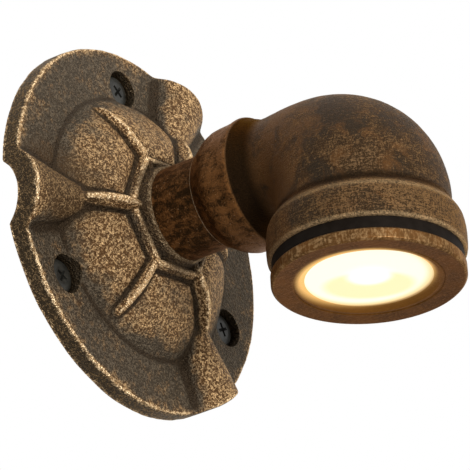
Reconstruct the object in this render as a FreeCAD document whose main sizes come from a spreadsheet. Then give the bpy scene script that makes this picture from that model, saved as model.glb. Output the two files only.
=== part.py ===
# Industrial pipe wall light: a cast flange with three hollow arches, a pipe
# nipple, a reducing elbow that turns on it, and a round lamp module screwed
# into the elbow's mouth. Millimetres. The wall is the plane Y = 0, the light
# stands out along -Y and shines down along -Z; the origin is on the pipe's
# axis at the wall.
import FreeCAD
import Part
import Sketcher
import math
import os
import re

from FreeCAD import Placement, Rotation, Vector

# Driving sizes: alias, millimetres or degrees, what it is.
SIZES = [
    ("flangeRadius", 53.7, "outer radius of the cast flange"),
    ("plateThickness", 4.7, "flat rim zone of the flange"),
    ("rimChamfer", 0.7, "worn front edge of the rim"),
    ("domeFoot", 36.3, "radius where the dome meets the flat rim zone"),
    ("domeShoulderRadius", 32.2, "radius of the dome's outer shoulder"),
    ("domeShoulderHeight", 8.6, "height of that shoulder above the wall"),
    ("domeCrownRadius", 12.0, "radius of the dome's top, inside the collar"),
    ("domeCrownHeight", 16.2, "height there"),
    ("hubRadius", 17.4, "corner radius of the six-sided hub"),
    ("hubHeight", 17.3, "height of the hub's six-sided edge"),
    ("collarHeight", 20.0, "height of the collar round the pipe"),
    ("collarWall", 0.7, "collar metal left round the pipe at its top"),
    ("collarFoot", 16.2, "radius of the collar's foot"),
    ("cavityRadius", 32.6, "hollow back of the flange, at the wall"),
    ("cavityDepth", 8.2, "depth of the hollow back"),
    ("cavityFloor", 26.0, "radius of the hollow's flat floor"),
    ("cavityStep", 4.4, "depth of the hollow's straight side wall"),
    ("archAngle", 66.5, "direction of the first hollow arch, from +X"),
    ("archCrown", 12.0, "height of an arch's crown"),
    ("archStart", 21.5, "radius where an arch's cone starts"),
    ("archSpread", 22.8, "half angle of an arch's cone"),
    ("tunnelCrown", 4.7, "inside height of an arch"),
    ("tunnelStart", 27.3, "radius where the inside cone starts"),
    ("pillowRing", 24.0, "radius of the circle of six pillows"),
    ("pillowRadius", 14.0, "ball radius of a pillow"),
    ("pillowHeight", 14.4, "height of a pillow's top"),
    ("ridgeRadius", 1.5, "half width of a cast ridge"),
    ("ridgeStart", 16.5, "radius where the cast ridges leave the hub"),
    ("ridgeHeight", 14.8, "height of a ridge's axis at the hub"),
    ("seamRidgeReach", 20.5, "length of a ridge between two arches"),
    ("seamRidgeDrop", 7.8, "fall of that ridge along its length"),
    ("archRidgeReach", 18.5, "length of a ridge that runs onto an arch"),
    ("archRidgeDrop", 3.4, "fall of that ridge along its length"),
    ("screwCircle", 42.6, "radius of the circle of the wall screws"),
    ("screwOffset", 30.5, "angle from an arch to its wall screw"),
    ("counterboreRadius", 5.6, "sunk seat of a wall screw's head"),
    ("counterboreFloor", 1.6, "metal left under the head"),
    ("screwHeadRadius", 5.15, "wall screw's head"),
    ("screwHeadHeight", 2.3, "wall screw's head"),
    ("screwShankRadius", 2.0, "wall screw's thread"),
    ("screwWaist", 1.75, "wall screw's plain shank inside the flange"),
    ("screwThreadStart", 0.3, "where its thread begins, behind the wall face"),
    ("screwHoleClearance", 0.3, "room round the shank"),
    ("screwReach", 3.9, "full length of the shank behind the flange"),
    ("screwPoint", 0.5, "length of the shank's bevelled tip"),
    ("crossWidth", 1.1, "arm width of a cross recess"),
    ("crossLength", 5.0, "arm length of a cross recess"),
    ("crossDepth", 1.3, "depth of a cross recess"),
    ("nippleRadius", 13.45, "outer radius of the pipe nipple"),
    ("nippleWall", 2.65, "wall of the pipe nipple"),
    ("nippleGrip", 26.4, "length of the nipple inside the elbow"),
    ("threadClearance", 0.05, "room between mating threads, on radius"),
    ("swivelClearance", 0.08, "room between nipple and elbow, on radius"),
    ("swivelStop", 1.5, "end room of the nipple in the elbow"),
    ("bushLip", 1.2, "lip and wall of the wire bush"),
    ("bushWall", 2.55, "wall of the wire bush inside the nipple"),
    ("bushLength", 9.0, "length of the bush inside the nipple"),
    ("elbowReach", 80.9, "lamp axis to wall"),
    ("crotchRoom", 0.9, "metal corner left inside the elbow's bend"),
    ("elbowWall", 3.2, "wall of the cast elbow"),
    ("neckRun", 27.4, "from the lamp's axis to where the neck leaves the bead"),
    ("neckSlope", 4.6, "length of the slope from the bead to the neck"),
    ("beadLength", 8.5, "length of the reinforcing bead"),
    ("noseLength", 6.8, "length of the slope from the bead to the elbow's end"),
    ("socketFaceRadius", 14.6, "outer radius of that face"),
    ("beadRadius", 18.3, "radius of the bead at its start"),
    ("beadEndRadius", 18.8, "radius of the bead at its end"),
    ("neckRadius", 16.3, "radius of the elbow's neck"),
    ("throatRadius", 17.8, "body radius a quarter of the way round"),
    ("cornerRadius", 20.3, "body radius halfway round the bend"),
    ("bellyRadius", 22.5, "body radius three quarters round"),
    ("mouthRadius", 23.7, "body radius at the end of the bend"),
    ("skirtRadius", 24.1, "body radius above the band"),
    ("bandBottom", 34.3, "lower face of the elbow's band, below the axis"),
    ("bandTop", 26.4, "upper edge of the band, below the axis"),
    ("bandRadius", 26.5, "band radius at its edges"),
    ("bandCrown", 0.5, "how far the band swells between its edges"),
    ("bandSlope", 4.8, "height of the slope above the band"),
    ("mouthBore", 21.3, "radius of the lamp's thread in the elbow"),
    ("mouthDepth", 13.6, "depth of that thread"),
    ("stemHeight", 10.8, "threaded stem of the lamp housing"),
    ("collarRadius", 25.9, "dark collar of the lamp housing"),
    ("collarThickness", 3.4, "dark collar of the lamp housing"),
    ("spigotRadius", 22.6, "housing thread that holds the bezel"),
    ("spigotHeight", 2.0, "housing thread that holds the bezel"),
    ("spigotBore", 19.2, "inside of that thread"),
    ("gasketSeat", 0.65, "how far the gasket's seat lies above the collar"),
    ("cupRadius", 17.2, "reflector's cup in the housing"),
    ("cupDepth", 7.6, "depth of that cup above the collar's face"),
    ("bezelRadius", 26.2, "outer radius of the bezel ring"),
    ("bezelHeight", 3.4, "height of the bezel ring"),
    ("bezelLip", 1.15, "thickness of the lip under the lens"),
    ("bezelChamfer", 0.5, "worn edge of the bezel"),
    ("openingRadius", 17.3, "light opening at the lens"),
    ("openingFlare", 19.2, "light opening at the bezel's face"),
    ("lensRadius", 18.8, "glass lens"),
    ("lensThickness", 2.1, "glass lens"),
    ("lensFloat", 0.1, "room between lens and bezel lip"),
    ("gasketInner", 17.3, "bore of the lens gasket"),
    ("padRadius", 14.5, "thermal pad"),
    ("padThickness", 0.5, "thermal pad"),
    ("boardRadius", 15.5, "lamp's circuit board"),
    ("boardThickness", 1.6, "lamp's circuit board"),
    ("chipRadius", 5.2, "light emitting disc"),
    ("chipThickness", 1.0, "light emitting disc"),
    ("boardScrewCircle", 11.6, "circle radius of the board's two screws"),
    ("boardScrewHead", 2.4, "head radius of a board screw"),
    ("boardScrewShank", 1.25, "shank radius of a board screw"),
    ("boardScrewLength", 4.0, "thread of a board screw in the housing"),
    ("boardClearance", 0.2, "room round screws and between small parts"),
    ("reflectorMouth", 16.9, "reflector's wide end"),
    ("reflectorThroat", 5.9, "reflector's narrow end"),
    ("reflectorFoot", 1.85, "height of the reflector's foot above the board"),
    ("reflectorWall", 0.7, "reflector's wall"),
    ("driverRadius", 10.5, "driver's round case"),
    ("driverTop", 3.2, "top of the driver above the pipe's axis"),
    ("driverWall", 1.2, "wall of the driver's case"),
    ("driverLid", 1.6, "thickness of the driver's lid"),
    ("driverBoardThickness", 1.2, "driver's circuit board"),
    ("driverBoardWidth", 17.4, "driver's circuit board"),
    ("driverBoardHeight", 15.0, "driver's circuit board"),
    ("coilRadius", 4.0, "driver's transformer"),
    ("coilHeight", 6.4, "driver's transformer"),
    ("capacitorRadius", 2.5, "driver's capacitor"),
    ("capacitorHeight", 6.4, "driver's capacitor"),
    ("inletRadius", 4.2, "wire inlet of the driver, on the pipe's axis"),
    ("inletBore", 3.1, "bore of that inlet"),
    ("inletReach", 3.4, "how far the inlet stands out of the case"),
    ("leadRadius", 1.1, "insulated supply lead"),
    ("leadSpacing", 1.3, "lead's distance from the pipe's axis"),
    ("ledLeadRadius", 0.7, "insulated lead from driver to board"),
    ("ledLeadOffset", 8.0, "distance of those leads to each side of the lamp's axis"),
    ("ledLeadSet", 1.0, "how far those leads lie before the driver's board"),
    ("ledLeadHole", 1.1, "radius of their holes in the housing"),
    ("ledLeadTail", 4.0, "length of those leads beside the driver's board"),
    ("connectorWidth", 5.6, "push-in connector"),
    ("connectorHeight", 5.8, "push-in connector, out from the hollow's floor"),
    ("connectorLength", 10.5, "push-in connector"),
    ("connectorGap", 0.8, "gap between two connectors"),
    ("connectorStandoff", 0.3, "connectors' distance from the pipe"),
    ("connectorGrip", 4.0, "length of a lead inside a connector"),
    ("leadHollow", 3.0, "depth of the leads where they cross the pipe's mouth"),
    ("leadApproach", 3.6, "distance of a supply lead from the middle there"),
    ("leadEntry", 24.0, "where the supply leads lie side by side in the pipe"),
    ("leadLanding", 2.0, "length of the supply leads inside the driver's inlet"),
    ("earthScrewPlace", 22.6, "earth screw's distance from the pipe's axis"),
    ("earthBossRadius", 4.6, "boss under the earth screw"),
    ("earthBossHeight", 3.2, "boss under the earth screw"),
    ("earthScrewHead", 3.6, "earth screw's head radius"),
    ("earthScrewHeadHeight", 1.5, "earth screw's head"),
    ("earthScrewShank", 2.0, "earth screw's shank radius"),
    ("lugRadius", 4.0, "earth lug's ring"),
    ("lugThickness", 0.8, "earth lug"),
    ("lugBarrel", 4.6, "length of the lug's crimped barrel"),
    ("lugBarrelEnd", 9.2, "end of that barrel, from the screw"),
    ("headTaper", 0.75, "top radius of a screw head, as a share of its edge"),
    ("reach", 1.0, "how far a cutting form passes through what it cuts"),
    ("seamTurn", 45.0, "where the seam of the elbow's skin lies on its rings"),
]
size = {alias: value for alias, value, note in SIZES}


doc = FreeCAD.newDocument("pipe_wall_light")
sheet = doc.addObject("Spreadsheet::Sheet", "Sizes")
for row, (alias, value, note) in enumerate(SIZES, start=1):
    sheet.set("A%d" % row, note)
    sheet.set("B%d" % row, str(value))
    sheet.setAlias("B%d" % row, alias)
doc.recompute()

nodes = []
aliasWord = re.compile(r"\b(" + "|".join(alias for alias, value, note in SIZES) + r")\b")


def linked(formula):
    """The formula with each size named as its cell of the sheet."""
    return aliasWord.sub(r"Sizes.\1", str(formula))


def evaluate(formula):
    """The number that a formula gives with the sheet's sizes."""
    number = sheet.evalExpression(linked(formula))
    return float(getattr(number, "Value", number))


def made(kind, name, **formulas):
    """A new object whose properties follow formulas."""
    item = doc.addObject(kind, name)
    for path, formula in formulas.items():
        item.setExpression(path, linked(formula))
    return item


def place(item, x=0, y=0, z=0, axis=None, angle=0):
    """Turn an object about an axis through its origin, then move it."""
    if axis is not None:
        item.Placement = Placement(Vector(), Rotation(Vector(*axis), evaluate(angle) or 1))
        item.setExpression("Placement.Rotation.Angle", linked(angle))
    for path, formula in (("x", x), ("y", y), ("z", z)):
        if formula != 0:
            item.setExpression("Placement.Base." + path, linked(formula))
    return item


def group(name, items):
    """Several solids handled as one; its placement moves them together."""
    item = doc.addObject("Part::Compound", name)
    item.Links = items
    return item


def joinedOneByOne(kind, name, items):
    """Boolean of the first item with each of the others in turn."""
    result = items[0]
    for number, item in enumerate(items[1:], start=1):
        step = doc.addObject(kind, name if number == len(items) - 1 else "%s%02d" % (name, number))
        step.Base = result
        step.Tool = item
        result = step
    return result


def fused(name, items):
    return joinedOneByOne("Part::Fuse", name, items)


def fusedTogether(name, items):
    item = doc.addObject("Part::MultiFuse", name)
    item.Shapes = items
    return item


def cut(name, base, *tools):
    return joinedOneByOne("Part::Cut", name, [base] + list(tools))


def common(name, items):
    item = doc.addObject("Part::MultiCommon", name)
    item.Shapes = items
    return item


def node(item, label):
    item.Label = label
    nodes.append(item)
    return item


# Places along the pipe's axis that follow from the sizes.
neckStart = "(elbowReach - neckRun)"
beadEnd = "(%s - neckSlope)" % neckStart
beadStart = "(%s - beadLength)" % beadEnd
socketFace = "(%s - noseLength)" % beadStart
nippleEnd = "(%s + nippleGrip)" % socketFace
bushBore = "(nippleRadius - nippleWall - threadClearance - bushWall)"
connectorRow = "(nippleRadius + connectorStandoff + connectorLength / 2)"

# Directions: a cylinder or cone is made along +Z. These turn it to stand out
# from the wall (-Y), to point down at the floor (-Z) or to lie along +X.
OUT = dict(axis=(1, 0, 0), angle=90)
DOWN = dict(axis=(1, 0, 0), angle=180)
SIDEWAYS = dict(axis=(0, 1, 0), angle=90)


def around(item, name, count, firstAngle, spread=360):
    """Copies of an item set round the pipe's axis, counted from +X to +Z."""
    copies = []
    for index in range(count):
        turned = group("%s%d" % (name, index + 1), [item])
        place(turned, axis=(0, -1, 0), angle="%s + %s * %d / %d" % (firstAngle, spread, index, count))
        copies.append(turned)
    return copies


def originPlane(body, role):
    return next(feature for feature in body.Origin.OriginFeatures if feature.Role == role)


def profileSketch(body, role, corners):
    """Closed outline through corners, each a formula for radius and depth."""
    sketch = body.newObject("Sketcher::SketchObject", body.Name + "Profile")
    sketch.AttachmentSupport = [(originPlane(body, role), "")]
    sketch.MapMode = "FlatFace"
    spots = [Vector(evaluate(radius), -evaluate(depth), 0) for radius, depth in corners]
    count = len(corners)
    for index in range(count):
        sketch.addGeometry(Part.LineSegment(spots[index], spots[(index + 1) % count]), False)
    for index in range(count):
        following = (index + 1) % count
        sketch.addConstraint(Sketcher.Constraint("Coincident", index, 2, following, 1))
    for index, (radius, depth) in enumerate(corners):
        for kind, formula, value, axisLine in (
            ("DistanceX", radius, spots[index].x, -2),
            ("DistanceY", "-(%s)" % depth, spots[index].y, -1),
        ):
            if formula in (0, "-(0)"):
                sketch.addConstraint(Sketcher.Constraint("PointOnObject", index, 1, axisLine))
                continue
            number = sketch.addConstraint(Sketcher.Constraint(kind, -1, 1, index, 1, value))
            sketch.setExpression("Constraints[%d]" % number, linked(formula))
    return sketch


def turned(name, corners, aboutLamp=False):
    """Body turned on the pipe's axis, or on the lamp's axis, from corners of
    radius and depth. Depth counts out from the wall, or down from the pipe."""
    body = doc.addObject("PartDesign::Body", name)
    sketch = profileSketch(body, "XZ_Plane" if aboutLamp else "XY_Plane", corners)
    turn = body.newObject("PartDesign::Revolution", name + "Turn")
    turn.Profile = (sketch, [""])
    turn.ReferenceAxis = (sketch, ["V_Axis"])
    turn.Angle = 360
    if aboutLamp:
        place(body, y="-elbowReach")
    return body


def rod(name, radius, start, end, x=0, z=0, aboutLamp=False):
    """Round rod along the pipe's or the lamp's axis, set off by x and z (or y)."""
    item = made("Part::Cylinder", name, Radius=radius, Height="(%s) - (%s)" % (end, start))
    if aboutLamp:
        return place(item, x=x, y="-elbowReach + (%s)" % z, z="-(%s)" % start, **DOWN)
    return place(item, x=x, y="-(%s)" % start, z=z, **OUT)


# Cast flange ---------------------------------------------------------------

def castFlange():
    plate = turned("FlangePlate", [
        (0, 0),
        ("flangeRadius", 0),
        ("flangeRadius", "plateThickness - rimChamfer"),
        ("flangeRadius - rimChamfer", "plateThickness"),
        (0, "plateThickness"),
    ])
    dome = turned("FlangeDome", [
        (0, "plateThickness / 2"),
        ("domeFoot + plateThickness / 4", "plateThickness / 2"),
        ("domeFoot", "plateThickness"),
        ("domeShoulderRadius", "domeShoulderHeight"),
        ("domeCrownRadius", "domeCrownHeight"),
        (0, "domeCrownHeight"),
    ])
    collar = turned("FlangeCollar", [
        (0, "domeCrownHeight / 2"),
        ("collarFoot", "domeCrownHeight / 2"),
        ("collarFoot", "hubHeight"),
        ("nippleRadius + collarWall", "collarHeight"),
        (0, "collarHeight"),
    ])
    hexagon = made("Part::Prism", "HubHexagon", Circumradius="hubRadius", Height="hubHeight")
    hexagon.Polygon = 6
    place(hexagon, **OUT)
    hub = around(hexagon, "Hub", 1, "archAngle")

    ball = made("Part::Sphere", "PillowBall", Radius="pillowRadius")
    place(ball, x="pillowRing", y="-(pillowHeight - pillowRadius)")
    pillows = around(ball, "Pillow", 6, "archAngle + 30")

    arches = around(archCone("ArchSkin", "archStart", "archCrown"), "Arch", 3, "archAngle")
    ridges = around(ridge("ArchRidge", "archRidgeReach", "archRidgeDrop"), "ArchRidge", 3, "archAngle")
    ridges += around(ridge("SeamRidge", "seamRidgeReach", "seamRidgeDrop"), "SeamRidge", 3,
                     "archAngle + 60")
    core = fused("FlangeCore", [plate, dome, collar] + hub)
    for name, forms in (("FlangePillows", pillows), ("FlangeArches", arches), ("FlangeRidges", ridges)):
        core = fusedTogether(name, [core] + forms)
    envelope = rod("FlangeEnvelope", "flangeRadius", 0, "collarHeight + pillowRadius")
    skin = common("FlangeSkin", [core, envelope])

    hollow = turned("FlangeHollow", [
        (0, "-plateThickness"),
        ("cavityRadius", "-plateThickness"),
        ("cavityRadius", "cavityStep"),
        ("cavityFloor", "cavityDepth"),
        (0, "cavityDepth"),
    ])
    tunnels = around(archCone("TunnelSkin", "tunnelStart", "tunnelCrown"), "Tunnel", 3, "archAngle")
    bore = rod("FlangeBore", "nippleRadius + threadClearance", "cavityDepth / 2", "collarHeight * 2")
    seat = screwPlace(rod("ScrewSeat", "counterboreRadius", "counterboreFloor", "hubHeight"))
    hole = screwPlace(rod("ScrewHole", "screwShankRadius + screwHoleClearance",
                          "-plateThickness", "plateThickness"))
    seats = around(seat, "Seat", 3, "archAngle + screwOffset")
    holes = around(hole, "Hole", 3, "archAngle + screwOffset")
    shell = cut("FlangeShell", skin, hollow, bore, group("Tunnels", tunnels), group("Seats", seats),
                group("Holes", holes))

    boss = rod("EarthBoss", "earthBossRadius", "cavityDepth - earthBossHeight",
               "cavityDepth + ridgeRadius", z="-earthScrewPlace")
    socket = rod("EarthSocket", "earthScrewShank + threadClearance",
                 "cavityDepth - earthBossHeight", "cavityDepth + ridgeRadius",
                 z="-earthScrewPlace")
    return cut("FlangeCasting", fused("FlangeWithBoss", [shell, boss]), socket)


def archCone(name, start, crown):
    """A cone lying on its side, its upper edge level at the crown's height."""
    cone = made("Part::Cone", name + "Cone",
                Radius2="(flangeRadius + archCrown - %s) * sin(archSpread)" % start,
                Height="(flangeRadius + archCrown - %s) * cos(archSpread)" % start)
    cone.Radius1 = 0
    place(cone, **SIDEWAYS)
    leaning = group(name + "Leaning", [cone])
    return place(leaning, x=start, y="-(%s)" % crown, axis=(0, 0, 1), angle="archSpread")


def ridge(name, reach, drop):
    """A round-topped ridge that falls from the hub, with a rounded end."""
    bar = made("Part::Cylinder", name + "Bar", Radius="ridgeRadius",
               Height="hypot(%s; %s)" % (reach, drop))
    place(bar, **SIDEWAYS)
    tip = made("Part::Sphere", name + "Tip", Radius="ridgeRadius")
    place(tip, x="hypot(%s; %s)" % (reach, drop))
    leaning = group(name + "Leaning", [fused(name + "Whole", [bar, tip])])
    return place(leaning, x="ridgeStart", y="-ridgeHeight", axis=(0, 0, 1),
                 angle="atan(%s / (%s))" % (drop, reach))


def screwPlace(item):
    """Move an item out to the screw circle, before it is set round."""
    item.setExpression("Placement.Base.x", linked("screwCircle"))
    return item


def crossCutter(name, width, length, depth, top, aboutLamp=False):
    """Two crossed bars that sink into a head whose top lies at a depth."""
    arms = []
    for index, (spanX, spanY) in enumerate(((width, length), (length, width))):
        arm = made("Part::Box", "%sArm%d" % (name, index + 1), Length=spanX, Width=spanY,
                   Height="2 * (%s)" % depth)
        arms.append(place(arm, x="-(%s) / 2" % spanX, y="-(%s) / 2" % spanY, z="-(%s)" % depth))
    cross = group(name + "Cross", arms)
    if aboutLamp:
        return place(cross, z="-(%s)" % top, **DOWN)
    return place(cross, y="-(%s)" % top, **OUT)


def wallScrews():
    head = "counterboreFloor + screwHeadHeight"
    blank = turned("ScrewBlank", [
        (0, "-screwReach - screwPoint"),
        ("screwShankRadius - screwPoint", "-screwReach - screwPoint"),
        ("screwShankRadius", "-screwReach"),
        ("screwShankRadius", "-screwThreadStart"),
        ("screwWaist", "-screwThreadStart"),
        ("screwWaist", "counterboreFloor"),
        ("screwHeadRadius", "counterboreFloor"),
        ("screwHeadRadius", "counterboreFloor + screwHeadHeight / 2"),
        ("screwHeadRadius * headTaper", head),
        (0, head),
    ])
    cross = crossCutter("ScrewCross", "crossWidth", "crossLength", "crossDepth", head)
    screw = group("ScrewAtCircle", [cut("OneScrew", blank, cross)])
    place(screw, x="screwCircle")
    return group("WallScrews", around(screw, "Screw", 3, "archAngle + screwOffset"))


# Pipe and wiring ------------------------------------------------------------

def pipeNipple():
    return turned("PipeNipple", [
        ("nippleRadius - nippleWall", "cavityDepth"),
        ("nippleRadius - rimChamfer", "cavityDepth"),
        ("nippleRadius", "cavityDepth + rimChamfer"),
        ("nippleRadius", nippleEnd + " - rimChamfer"),
        ("nippleRadius - rimChamfer", nippleEnd),
        ("nippleRadius - nippleWall", nippleEnd),
    ])


def wireBush():
    """Smooth plastic mouth where the leads enter the pipe."""
    outside = "nippleRadius - nippleWall - threadClearance"
    return turned("WireBush", [
        (bushBore, "cavityDepth + bushLength"),
        (bushBore, "cavityDepth"),
        (bushBore + " + bushLip", "cavityDepth - bushLip"),
        ("nippleRadius - rimChamfer", "cavityDepth - bushLip"),
        ("nippleRadius - rimChamfer", "cavityDepth"),
        (outside, "cavityDepth"),
        (outside, "cavityDepth + bushLength"),
    ])


def lead(name, route, radius):
    """Insulated lead along straight runs joined by arcs as large as they allow."""
    points = [Vector(*(evaluate(formula) for formula in spot)) for spot in route]
    edges = []
    start = points[0]
    radii = []
    for before, corner, after in zip(points, points[1:], points[2:]):
        inward = (before - corner).normalize()
        outward = (after - corner).normalize()
        turn = math.pi - inward.getAngle(outward)
        room = 0.45 * min((before - corner).Length, (after - corner).Length)
        arcRadius = room / math.tan(turn / 2)
        bisector = (inward + outward).normalize()
        middle = corner + bisector * (arcRadius / math.cos(turn / 2) - arcRadius)
        first = corner + inward * room
        last = corner + outward * room
        edges.append(Part.LineSegment(start, first).toShape())
        edges.append(Part.Arc(first, middle, last).toShape())
        start = last
        radii.append(arcRadius)
    edges.append(Part.LineSegment(start, points[-1]).toShape())
    path = Part.Wire(edges)
    section = Part.Wire(Part.Circle(points[0], points[1] - points[0], radius).toShape())
    solid = path.makePipeShell([section], True, True)
    expected = math.pi * radius ** 2 * path.Length
    print("%s: %.1f mm long, arcs of radius %s mm, volume %.4f of section x length"
          % (name, path.Length, ", ".join("%.1f" % arc for arc in radii) or "none",
             solid.Volume / expected))
    return solid


def leadNode(name, label, routes, radiusFormula):
    solids = [lead(name, route, evaluate(radiusFormula)) for route in routes]
    item = doc.addObject("Part::Feature", name)
    item.Shape = solids[0] if len(solids) == 1 else Part.makeCompound(solids)
    return node(item, label)


# Reducing elbow --------------------------------------------------------------

# Stations round the bend, in degrees, and the body's outer radius there. The
# rings all swing about the crotch, just inside the corner of the bend.
elbowStations = [(0, "neckRadius"), (22.5, "throatRadius"), (45, "cornerRadius"),
                 (67.5, "bellyRadius"), (90, "mouthRadius")]
crotchOut = "(elbowReach - mouthRadius - crotchRoom)"
crotchDown = "(neckRadius + crotchRoom)"


def elbowSkin(name, wall, start, end):
    """Neck, bend and skirt of the body, less a wall all round."""
    rings = []
    for index, (turn, radius) in enumerate(elbowStations):
        swing = "(%s + crotchRoom)" % radius
        rings.append(stationRing("%sRing%d" % (name, index), turn, "%s - %s" % (radius, wall),
                                 "%s + %s * sin(%s)" % (crotchOut, swing, turn),
                                 "%s - %s * cos(%s)" % (crotchDown, swing, turn)))
    bend = doc.addObject("Part::Loft", name + "Bend")
    bend.Sections = rings
    bend.Solid = True
    neck = rod(name + "Neck", "neckRadius - %s" % wall, start, crotchOut)
    skirt = made("Part::Cone", name + "Skirt", Radius1="mouthRadius - %s" % wall,
                 Radius2="skirtRadius - %s" % wall, Height="%s - %s" % (end, crotchDown))
    place(skirt, y="-elbowReach", z="-" + crotchDown, **DOWN)
    return fused(name, [bend, neck, skirt])


def stationRing(name, turn, radius, outward, downward):
    ring = made("Part::Circle", name, Radius=radius)
    seam = Rotation(Vector(0, 0, 1), size["seamTurn"])
    ring.Placement = Placement(Vector(), Rotation(Vector(1, 0, 0), 90 + turn) * seam)
    ring.setExpression("Placement.Base.y", linked("-(%s)" % outward))
    ring.setExpression("Placement.Base.z", linked("-(%s)" % downward))
    return ring


def reducingElbow():
    skin = elbowSkin("ElbowSkin", "0", beadEnd, "bandTop + reach")
    bead = turned("ElbowBead", [
        (0, socketFace),
        ("socketFaceRadius", socketFace),
        ("beadRadius", beadStart),
        ("beadEndRadius", beadEnd),
        ("neckRadius", neckStart),
        (0, neckStart),
    ])
    band = turned("ElbowBand", [
        (0, "bandTop - bandSlope"),
        ("skirtRadius", "bandTop - bandSlope"),
        ("bandRadius", "bandTop"),
        ("bandRadius + bandCrown", "bandTop + (bandBottom - bandTop) / 4"),
        ("bandRadius + bandCrown", "bandBottom - (bandBottom - bandTop) / 4"),
        ("bandRadius", "bandBottom"),
        (0, "bandBottom"),
    ], aboutLamp=True)
    inside = elbowSkin("ElbowInside", "elbowWall", neckStart, "bandTop")
    socket = rod("ElbowSocket", "nippleRadius + swivelClearance", socketFace + " - reach",
                 nippleEnd + " + swivelStop")
    mouth = rod("ElbowMouth", "mouthBore", "bandBottom - mouthDepth", "bandBottom + reach",
                aboutLamp=True)
    return cut("ReducingElbow", fused("ElbowRough", [skin, bead, band]), inside, socket, mouth)


# Lamp module -------------------------------------------------------------------

def lampHousing():
    """Black heat sink: stem in the elbow, collar below it, cup for the board."""
    face = "bandBottom + collarThickness"
    blank = turned("HousingBlank", [
        (0, "bandBottom - stemHeight"),
        ("mouthBore - threadClearance - rimChamfer", "bandBottom - stemHeight"),
        ("mouthBore - threadClearance", "bandBottom - stemHeight + rimChamfer"),
        ("mouthBore - threadClearance", "bandBottom"),
        ("collarRadius", "bandBottom"),
        ("collarRadius", face),
        ("spigotRadius", face),
        ("spigotRadius", face + " + spigotHeight"),
        ("spigotBore", face + " + spigotHeight"),
        ("spigotBore", face + " - gasketSeat"),
        ("cupRadius", face + " - gasketSeat"),
        ("cupRadius", face + " - cupDepth"),
        (0, face + " - cupDepth"),
    ], aboutLamp=True)
    floor = face + " - cupDepth"
    holes = []
    for side in (-1, 1):
        holes.append(rod("LedLeadHole%d" % (side + 2), "ledLeadHole", "bandBottom - stemHeight - reach",
                         floor + " + reach", x="%d * ledLeadOffset" % side, z="ledLeadSet",
                         aboutLamp=True))
        holes.append(rod("BoardScrewHole%d" % (side + 2), "boardScrewShank + threadClearance",
                         floor + " - boardScrewLength", floor + " + reach",
                         z="%d * boardScrewCircle" % side, aboutLamp=True))
    return cut("LampHousing", blank, *holes)


def boardBlank(name, radius, top, thickness):
    """Round sheet with the holes that the leads and the screws pass through."""
    disc = rod(name + "Disc", radius, top, "%s + %s" % (top, thickness), aboutLamp=True)
    holes = []
    for side in (-1, 1):
        for what, hole, x, z in (
            ("Lead", "ledLeadHole", "%d * ledLeadOffset" % side, "ledLeadSet"),
            ("Screw", "boardScrewShank + boardClearance", "0", "%d * boardScrewCircle" % side),
        ):
            holes.append(rod("%s%sHole%d" % (name, what, side + 2), hole, "%s - reach" % top,
                             "%s + %s + reach" % (top, thickness), x=x, z=z, aboutLamp=True))
    return cut(name, disc, *holes)


boardBack = "bandBottom + collarThickness - cupDepth"
boardTop = boardBack + " + padThickness"
boardFace = boardTop + " + boardThickness"


def boardScrews():
    screws = []
    for side in (-1, 1):
        blank = turned("BoardScrewBlank%d" % (side + 2), [
            (0, boardBack + " - boardScrewLength + boardClearance"),
            ("boardScrewShank", boardBack + " - boardScrewLength + boardClearance"),
            ("boardScrewShank", boardFace),
            ("boardScrewHead", boardFace),
            ("boardScrewHead * headTaper", boardFace + " + boardScrewShank"),
            (0, boardFace + " + boardScrewShank"),
        ], aboutLamp=True)
        blank.setExpression("Placement.Base.y", linked("-elbowReach + %d * boardScrewCircle" % side))
        cross = crossCutter("BoardCross%d" % (side + 2), "crossWidth / 2", "boardScrewHead",
                            "boardScrewShank / 2", boardFace + " + boardScrewShank", aboutLamp=True)
        cross.setExpression("Placement.Base.y", linked("-elbowReach + %d * boardScrewCircle" % side))
        screws.append(cut("BoardScrew%d" % (side + 2), blank, cross))
    return group("BoardScrews", screws)


def reflector():
    """White cup from the lit disc to the lens, its foot standing on the board."""
    lip = "bandBottom + collarThickness - gasketSeat"
    return turned("Reflector", [
        ("reflectorThroat", boardFace),
        ("reflectorThroat + reflectorWall", boardFace),
        ("reflectorThroat + reflectorWall", boardFace + " + reflectorFoot"),
        ("reflectorMouth", lip + " - reflectorWall"),
        ("reflectorMouth", lip + " - boardClearance"),
        ("reflectorMouth - reflectorWall", lip + " - boardClearance"),
        ("reflectorThroat", boardFace + " + reflectorFoot + reflectorWall"),
    ], aboutLamp=True)


lensTop = "bandBottom + collarThickness + bezelHeight - bezelLip - lensFloat - lensThickness"


def lensGasket():
    return turned("LensGasket", [
        ("gasketInner", "bandBottom + collarThickness - gasketSeat"),
        ("lensRadius", "bandBottom + collarThickness - gasketSeat"),
        ("lensRadius", lensTop),
        ("gasketInner", lensTop),
    ], aboutLamp=True)


def lens():
    edge = lensTop + " + lensThickness"
    return turned("Lens", [
        (0, lensTop),
        ("lensRadius", lensTop),
        ("lensRadius", edge),
        ("openingRadius - lensFloat", edge),
        ("openingRadius / 2", edge + " + lensFloat * 3"),
        (0, edge + " + lensFloat * 4"),
    ], aboutLamp=True)


def bezelRing():
    top = "bandBottom + collarThickness"
    face = top + " + bezelHeight"
    return turned("BezelRing", [
        ("spigotRadius + boardClearance", top),
        ("bezelRadius - bezelChamfer / 2", top),
        ("bezelRadius", top + " + bezelChamfer / 2"),
        ("bezelRadius", face + " - bezelChamfer"),
        ("bezelRadius - bezelChamfer", face),
        ("openingFlare", face),
        ("openingRadius", face + " - bezelLip"),
        ("spigotRadius + boardClearance", face + " - bezelLip"),
    ], aboutLamp=True)


# Driver -------------------------------------------------------------------------

driverFoot = "bandBottom - stemHeight"


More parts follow.
